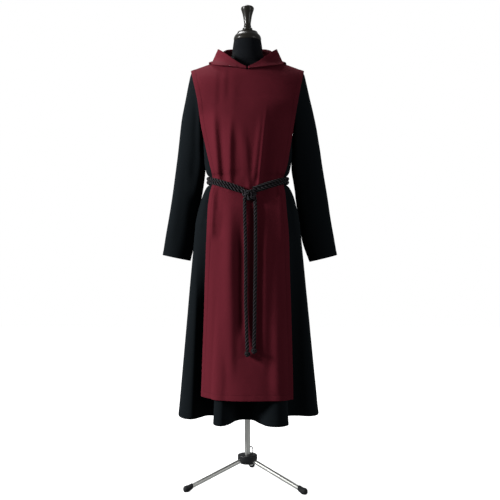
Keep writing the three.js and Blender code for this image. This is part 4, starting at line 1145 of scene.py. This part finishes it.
def add_tube(bm, line, radius, sides=16, run=None, axis=None):
    """A round tube on a line of points, closed at its ends. axis is the rope's middle line."""
    across, up = frames_along(line)
    angle = np.linspace(0, 2 * math.pi, sides + 1)
    ring = across[:, None] * np.cos(angle)[:, None] + up[:, None] * np.sin(angle)[:, None]
    grid = line[:, None] + ring * radius
    # How far each point lies from the rope's middle, kept in the hem layer, places the rope's
    # painted highlight and painted shade.
    out = np.zeros(grid.shape[:2]) if axis is None else (
        np.linalg.norm(grid - axis[:, None], axis=-1) / radius)
    first, last = np.repeat(line[:1, None], sides + 1, 1), np.repeat(line[-1:, None], sides + 1, 1)
    grid = np.concatenate([first, grid, last])
    out = np.concatenate([out[:1], out, out[-1:]])
    run = run_of(line) if run is None else run
    run = np.concatenate([run[:1], run, run[-1:]])
    cut = np.stack(np.broadcast_arrays(angle / (2 * math.pi), run[:, None] * MM), axis=-1)
    add_surface(bm, grid, cut, np.stack([out, out], axis=-1), flip=True)


def add_rope(bm, route, diameter, lay, step=1.9):
    """A rope of three strands that twist round a core."""
    length_ = run_of(catmull(np.asarray(route, float), 12))[-1]
    line = along(route, max(8, round(length_ / step)))
    across, up = frames_along(line)
    run = run_of(line)
    radius = diameter / 2
    for k in range(STRANDS):
        turn = 2 * math.pi * (run / lay + k / STRANDS)
        out = across * np.cos(turn)[:, None] + up * np.sin(turn)[:, None]
        add_tube(bm, line + out * radius * STRAND_OUT, radius * STRAND_SIZE, sides=12,
                 run=run, axis=line)
    # The core shows in the gaps between the strands, where the material paints it nearly black as
    # shade.
    add_tube(bm, line, radius * CORE_SIZE, sides=12, run=run, axis=line)
    return line


def turned_piece(name, profile, material, node, segments=64, sharp=0.6):
    """A turned piece on the pole's axis, from rows of radius and height."""
    bm = new_bmesh()
    verts = [bm.verts.new((radius * MM, 0, z * MM)) for radius, z in profile]
    edges = [bm.edges.new(pair) for pair in zip(verts, verts[1:])]
    bmesh.ops.spin(bm, geom=verts + edges, axis=(0, 0, 1), cent=(0, 0, 0), dvec=(0, 0, 0),
                   angle=2 * math.pi, steps=segments, use_merge=True)
    bmesh.ops.remove_doubles(bm, verts=bm.verts, dist=0.00001)
    for face in bm.faces:
        face.smooth = True
    return to_piece(name, bm, material, [node], weld=0.00001, sharp=sharp)


# ---------------------------------------------------------------- pieces


def make_camera():
    data = bpy.data.cameras.new("camera")
    data.lens = bpy.context.scene.habit_stage.lens
    data.sensor_width = FRAME_WIDTH
    camera = bpy.data.objects.new("camera", data)
    camera.location = CAMERA_AT
    camera.rotation_euler = (math.pi / 2, 0, 0)
    bpy.context.collection.objects.link(camera)
    bpy.context.scene.camera = camera


def make_light(name, place, aim, size, power):
    data = bpy.data.lights.new(name, "AREA")
    data.shape = "DISK"
    data.size = size
    data.energy = power
    light = bpy.data.objects.new(name, data)
    light.location = place
    light.rotation_euler = (Vector(aim) - Vector(place)).to_track_quat("-Z", "Y").to_euler()
    bpy.context.collection.objects.link(light)


def make_world(strength, reflected):
    """White where the camera sees it, grey in reflections, and weak as a light."""
    world = bpy.data.worlds.new("studio")
    world.use_nodes = True
    tree = world.node_tree
    tree.nodes.clear()
    path = tree.nodes.new("ShaderNodeLightPath")
    seen = tree.nodes.new("ShaderNodeBackground")
    seen.inputs["Color"].default_value = (1, 1, 1, 1)
    weak = tree.nodes.new("ShaderNodeBackground")
    weak.inputs["Color"].default_value = (0.93, 0.97, 1, 1)
    weak.inputs["Strength"].default_value = strength
    grey = tree.nodes.new("ShaderNodeBackground")
    grey.inputs["Color"].default_value = (0.96, 0.98, 1, 1)
    grey.inputs["Strength"].default_value = reflected
    lit = tree.nodes.new("ShaderNodeMixShader")
    blend = tree.nodes.new("ShaderNodeMixShader")
    output = tree.nodes.new("ShaderNodeOutputWorld")
    tree.links.new(path.outputs["Is Camera Ray"], blend.inputs[0])
    tree.links.new(path.outputs["Is Glossy Ray"], lit.inputs[0])
    tree.links.new(weak.outputs[0], lit.inputs[1])
    tree.links.new(grey.outputs[0], lit.inputs[2])
    tree.links.new(lit.outputs[0], blend.inputs[1])
    tree.links.new(seen.outputs[0], blend.inputs[2])
    tree.links.new(blend.outputs[0], output.inputs[0])
    bpy.context.scene.world = world


def make_floor():
    bm = bmesh.new()
    bmesh.ops.create_grid(bm, x_segments=1, y_segments=1, size=FLOOR_HALF)
    mesh = bpy.data.meshes.new("floor")
    bm.to_mesh(mesh)
    bm.free()
    paper = Surface("floor_paper", base_color=(0.9, 0.9, 0.9, 1), roughness=0.9)
    paper.set("Specular IOR Level", 0.1)
    paper.set("Emission Color", (1, 1, 1, 1))
    paper.set("Emission Strength", 0.93)
    mesh.materials.append(paper.material)
    floor = bpy.data.objects.new("floor", mesh)
    floor.visible_diffuse = False
    floor.visible_glossy = False
    bpy.context.collection.objects.link(floor)


def make_rope():
    rope = bpy.context.scene.habit_rope
    diameter, lay = rope.diameter / MM, rope.lay / MM
    turn = np.linspace(BELT_START * 0.6, 2 * math.pi - BELT_END * 0.6, 97)
    swing, ahead = -np.sin(turn), np.cos(turn)
    half = np.where(swing < 0, BELT["left"], BELT["right"])
    depth = np.where(ahead > 0, BELT["front"], BELT["back"])
    power = 2 / BELT["power"]
    x = half * np.sign(swing) * np.abs(swing) ** power
    forward = depth * np.sign(ahead) * np.abs(ahead) ** power
    in_front = mix(BELT_FRONT, BELT_SIDE, np.abs(x) / half)
    z = np.where(ahead > 0, in_front, mix(BELT_SIDE, BELT_BACK, ahead * ahead))
    pressed = mix(ROPE / 2 - 0.2, 4.2, np.exp(-((x / 30) ** 2)) * (ahead > 0))
    for name, up in (("upper", 1), ("lower", -1)):
        bm = new_bmesh()
        add_rope(bm, spot(x, forward, z + up * pressed), diameter, lay)
        to_piece(f"rope_{name}", bm, rope_cotton(), [f"belt_{name}"])
    bm = new_bmesh()
    for strand in KNOT_STRANDS:
        add_rope(bm, [(sx, -sf, sz) for sx, sf, sz in strand], diameter, lay)
    to_piece("rope_knot", bm, rope_cotton(), ["belt_knot"])
    for name, route in TAILS.items():
        bm = new_bmesh()
        points = np.array([(sx, -sf, sz) for sx, sf, sz in route], float)
        line = add_rope(bm, points, diameter, lay)
        tail = to_piece(f"rope_tail_{name}", bm, rope_cotton(), [f"tail_{name}"])
        heading = unit(points[-1] - points[-2])
        knot = make_end_knot(name, points[-1] + heading * STOPPER_DROP, heading)


def make_end_knot(name, middle, heading):
    """A stopper: the rope's end wound twice round itself, its tip showing below."""
    side = unit(np.cross(heading, (1.0, 0.0, 0.0)))
    other = np.cross(heading, side)
    bm = new_bmesh()
    t = np.linspace(0, 1, 40)
    angle = 2 * math.pi * (t * 2.1 + 0.1)
    radius = 6.9 * np.sin(math.pi * np.clip(t * 0.86 + 0.07, 0, 1)) ** 0.35
    coil = middle + np.outer(np.cos(angle) * radius, side)
    coil = coil + np.outer(np.sin(angle) * radius, other)
    coil = coil + np.outer(mix(-5.6, 6.2, t), heading)
    add_rope(bm, coil, STOPPER_WINDING, STOPPER_LAY, step=1.2)
    core = [middle - heading * 10, middle, middle + heading * 9.6]
    add_rope(bm, core, STOPPER_CORE, LAY * 0.7, step=1.5)
    return to_piece(f"rope_end_knot_{name}", bm, rope_cotton(), [f"end_knot_{name}"])


def make_tunic():
    body = np.linspace(HIP_HEIGHT, ARMPIT_HEIGHT, 78)
    for side, columns, creases in ((1, 176, TUNIC_CREASES), (-1, 144, TUNIC_BACK_CREASES)):
        grid = tunic_panel(side, columns, 84, body, 30)
        folds = fold_heights(creases, grid[..., 0], grid[..., 2])
        name = FACES[side]
        cloth_piece(f"wool_tunic_{name}", grid, side, f"tunic_{name}", ("first row",), folds,
                    seed=side * 3.7, soft=0.6)


def make_sleeves():
    for name, sign in (("left", -1), ("right", 1)):
        grid = refined(sleeve_rings(name, sign, 110), 1, 4, loop=True)
        grid = np.concatenate([grid[:, :-1]] * 2, axis=1)
        count = grid.shape[1] // 2
        start = count // 2
        grid = grid[:, start : start + count + 1]
        place = (np.arange(count + 1) + start) / count % 1
        down = np.linspace(0, 1, grid.shape[0])[:, None]
        folds = np.zeros(grid.shape[:2])
        for at, wind, top, bottom, width, height in SLEEVE_FOLDS[name]:
            along_it = (down - top) / (bottom - top)
            off = (place - at - wind * along_it + 0.5) % 1 - 0.5
            strength = np.minimum(ease(along_it * 4), ease((1 - along_it) * 4))
            folds += height * np.exp(-((off / width) ** 2)) * strength
        folds += np.sin(place * 2 * math.pi * 19) * 0.5 * np.exp(-((down / 0.035) ** 2))
        cloth_piece(f"wool_sleeve_{name}", grid, sign, f"sleeve_{name}", ("last row",), folds,
                    loop=True, seed=5 + sign, soft=1.1)


def make_scapular():
    levels = np.concatenate([
        np.arange(BLEND_TOP, 1130, -5.0), np.arange(1130, 960, -3.0),
        np.arange(960, SCAPULAR_HEM, -5.5), [SCAPULAR_HEM]])
    for side in (1, -1):
        name = FACES[side]
        grid = scapular_panel(side, 124 if side > 0 else 96, 34, levels)
        hems = ("first column", "last column", "last row")
        cloth_piece(f"wool_scapular_{name}", grid, -side, f"scapular_{name}", hems,
                    seed=11 + side, soft=0.55, slot="scapular")


def make_hood():
    left = refined(hood_half(12, 10), 6, 6)
    left[-1, :, 0] = -HOOD_SEAM
    for name, sign in (("left", 1), ("right", -1)):
        grid = left * (sign, 1, 1)
        cloth_piece(f"wool_hood_{name}", grid, -sign, f"hood_{name}", ("last column",),
                    seed=17 + sign, soft=0.9, slot="scapular")


def make_form():
    rows = np.concatenate([np.arange(FORM_BOTTOM, 1456, 8.0), np.arange(1456, FORM_TOP, 2.5),
                           [FORM_TOP]])
    turn = np.linspace(0, 2 * math.pi, 73)
    grid = []
    for z in rows:
        depth = np.where(np.cos(turn) > 0, FORM("front", z), FORM("back", z))
        grid.append(spot(FORM("half", z) * np.sin(turn), depth * np.cos(turn), z))
    grid = np.array(grid)
    low, high = grid[0].mean(axis=0), grid[-1].mean(axis=0)
    ends = [np.tile(low, (1, len(turn), 1)), grid, np.tile(high, (1, len(turn), 1))]
    grid = np.concatenate(ends)
    bm = new_bmesh()
    cut = np.stack([run_of(np.swapaxes(grid, 0, 1)).T, run_of(grid)], axis=-1) * MM
    add_surface(bm, grid, cut)
    stand = bpy.context.scene.habit_stand
    cover = ready("form_jersey", jersey, tuple(stand.jersey))
    to_piece("jersey_form", bm, cover, ["form_torso"], sharp=0.9)
    lacquer = ready("black_lacquer", lacquered_wood, tuple(stand.lacquer))
    turned_piece("turned_cap", CAP_PROFILE, lacquer, "neck_cap")
    turned_piece("turned_finial", FINIAL_PROFILE, lacquer, "finial")


def make_stand():
    stand = bpy.context.scene.habit_stand
    steel = ready("satin_steel", satin_steel, tuple(stand.steel))
    plastic = ready("moulded_plastic", moulded, tuple(stand.plastic), 0.42)
    rubber = ready("foot_rubber", moulded, tuple(stand.plastic), 0.78)
    pole = ((0, POLE_BOTTOM), (POLE_RADIUS, POLE_BOTTOM), (POLE_RADIUS, POLE_TOP), (0, POLE_TOP))
    turned_piece("steel_pole", pole, steel, "pole", 48)
    turned_piece("plastic_socket", SOCKET_PROFILE, plastic, "socket")
    turned_piece("plastic_hub", HUB_PROFILE, plastic, "hub")
    bm = new_bmesh()
    x, forward, foot = HUB_LOOP_AT
    route = spot(np.array([p[0] for p in HUB_LOOP]) + x, forward,
                 np.array([p[1] for p in HUB_LOOP]) + foot)
    add_tube(bm, along(route, 40), HUB_WIRE)
    to_piece("plastic_hub_loop", bm, plastic, ["hub_loop"], sharp=0.9)
    for name, turn in LEGS.items():
        angle = math.radians(turn)
        swing = Matrix.Rotation(angle, 4, "Z")
        bm = new_bmesh()
        line = np.array([(math.sin(angle) * r, -math.cos(angle) * r, z)
                         for r, z in (LEG_START, (FOOT_REACH - LEG_END_BACK, LEG_END_Z))])
        add_tube(bm, along(line, 2), LEG_RADIUS, sides=32)
        to_piece(f"steel_leg_{name}", bm, steel, [f"leg_{name}"], sharp=0.9)
        bm = new_bmesh()
        add_foot(bm)
        bmesh.ops.rotate(bm, verts=bm.verts, cent=(0, 0, 0), matrix=swing)
        reach = Vector((math.sin(angle), -math.cos(angle), 0)) * FOOT_REACH * MM
        bmesh.ops.translate(bm, verts=bm.verts, vec=reach)
        to_piece(f"rubber_foot_{name}", bm, rubber, [f"foot_{name}"], sharp=0.9)


def add_foot(bm):
    """A rubber foot that points forward, with a flat underside."""
    rows = along(FOOT_SECTIONS, 24)
    turn = np.linspace(0, 2 * math.pi, 41)
    grid = [spot(half * np.sin(turn), out, np.maximum(z + half * np.cos(turn), 0))
            for out, z, half in rows]
    grid = np.array(grid)
    first, last = grid[0].mean(axis=0), grid[-1].mean(axis=0)
    grid = np.concatenate([np.tile(first, (1, len(turn), 1)), grid,
                           np.tile(last, (1, len(turn), 1))])
    add_surface(bm, grid)


# ---------------------------------------------------------------- operators and panel


class HABIT_OT_stage(bpy.types.Operator):
    """Add the camera, the lights, the backdrop's white and the floor"""

    bl_idname = "habit.stage"
    bl_label = "Stage"

    def execute(self, context):
        stage = context.scene.habit_stage
        make_camera()
        make_light("key", *KEY_LIGHT, stage.key)
        make_light("fill", *FILL_LIGHT, stage.fill)
        make_light("top", *TOP_LIGHT, stage.key * TOP_SHARE)
        make_world(stage.sky, stage.mirrored)
        make_floor()
        context.scene.view_settings.view_transform = "Standard"
        return {"FINISHED"}


class HABIT_OT_rope(bpy.types.Operator):
    """Add the rope belt, its knot and its two hanging ends"""

    bl_idname = "habit.rope"
    bl_label = "Rope belt"

    def execute(self, context):
        make_rope()
        return {"FINISHED"}


class HABIT_OT_form(bpy.types.Operator):
    """Add the dress form with its turned cap and finial"""

    bl_idname = "habit.form"
    bl_label = "Dress form"

    def execute(self, context):
        make_form()
        return {"FINISHED"}


class HABIT_OT_stand(bpy.types.Operator):
    """Add the pole, the hub and the three legs"""

    bl_idname = "habit.stand"
    bl_label = "Stand"

    def execute(self, context):
        make_stand()
        return {"FINISHED"}


class HABIT_OT_tunic(bpy.types.Operator):
    """Add the tunic's front and back"""

    bl_idname = "habit.tunic"
    bl_label = "Tunic"

    def execute(self, context):
        make_tunic()
        return {"FINISHED"}


class HABIT_OT_sleeves(bpy.types.Operator):
    """Add the two sleeves"""

    bl_idname = "habit.sleeves"
    bl_label = "Sleeves"

    def execute(self, context):
        make_sleeves()
        return {"FINISHED"}


class HABIT_OT_scapular(bpy.types.Operator):
    """Add the scapular's front and back"""

    bl_idname = "habit.scapular"
    bl_label = "Scapular"

    def execute(self, context):
        make_scapular()
        return {"FINISHED"}


class HABIT_OT_hood(bpy.types.Operator):
    """Add the hood that lies down on the back"""

    bl_idname = "habit.hood"
    bl_label = "Hood"

    def execute(self, context):
        make_hood()
        return {"FINISHED"}


class HABIT_PT_panel(bpy.types.Panel):
    """The habit's settings and the buttons that make it"""

    bl_idname = "HABIT_PT_panel"
    bl_label = "Monk Habit"
    bl_space_type = "VIEW_3D"
    bl_region_type = "UI"
    bl_category = "Habit"

    def draw(self, context):
        scene = context.scene
        for group in (scene.habit_cloth, scene.habit_rope, scene.habit_stand, scene.habit_stage):
            box = self.layout.box()
            for name in group.bl_rna.properties.keys():
                if name not in ("rna_type", "name"):
                    box.prop(group, name)
        for operator in OPERATORS:
            self.layout.operator(operator.bl_idname)


SETTINGS = {
    "habit_cloth": HabitCloth, "habit_rope": HabitRope, "habit_stand": HabitStand,
    "habit_stage": HabitStage,
}
OPERATORS = (
    HABIT_OT_stage, HABIT_OT_rope, HABIT_OT_form, HABIT_OT_stand, HABIT_OT_tunic,
    HABIT_OT_sleeves, HABIT_OT_scapular, HABIT_OT_hood,
)


def register():
    for cls in (*SETTINGS.values(), *OPERATORS, HABIT_PT_panel):
        bpy.utils.register_class(cls)
    for name, group in SETTINGS.items():
        setattr(bpy.types.Scene, name, bpy.props.PointerProperty(type=group))


def unregister():
    for name in SETTINGS:
        delattr(bpy.types.Scene, name)
    for cls in reversed((*SETTINGS.values(), *OPERATORS, HABIT_PT_panel)):
        bpy.utils.unregister_class(cls)


def main():
    register()
    bpy.ops.habit.stage()
    bpy.ops.habit.rope()
    bpy.ops.habit.form()
    bpy.ops.habit.stand()
    bpy.ops.habit.tunic()
    bpy.ops.habit.sleeves()
    bpy.ops.habit.scapular()
    bpy.ops.habit.hood()


if __name__ == "__main__":
    main()
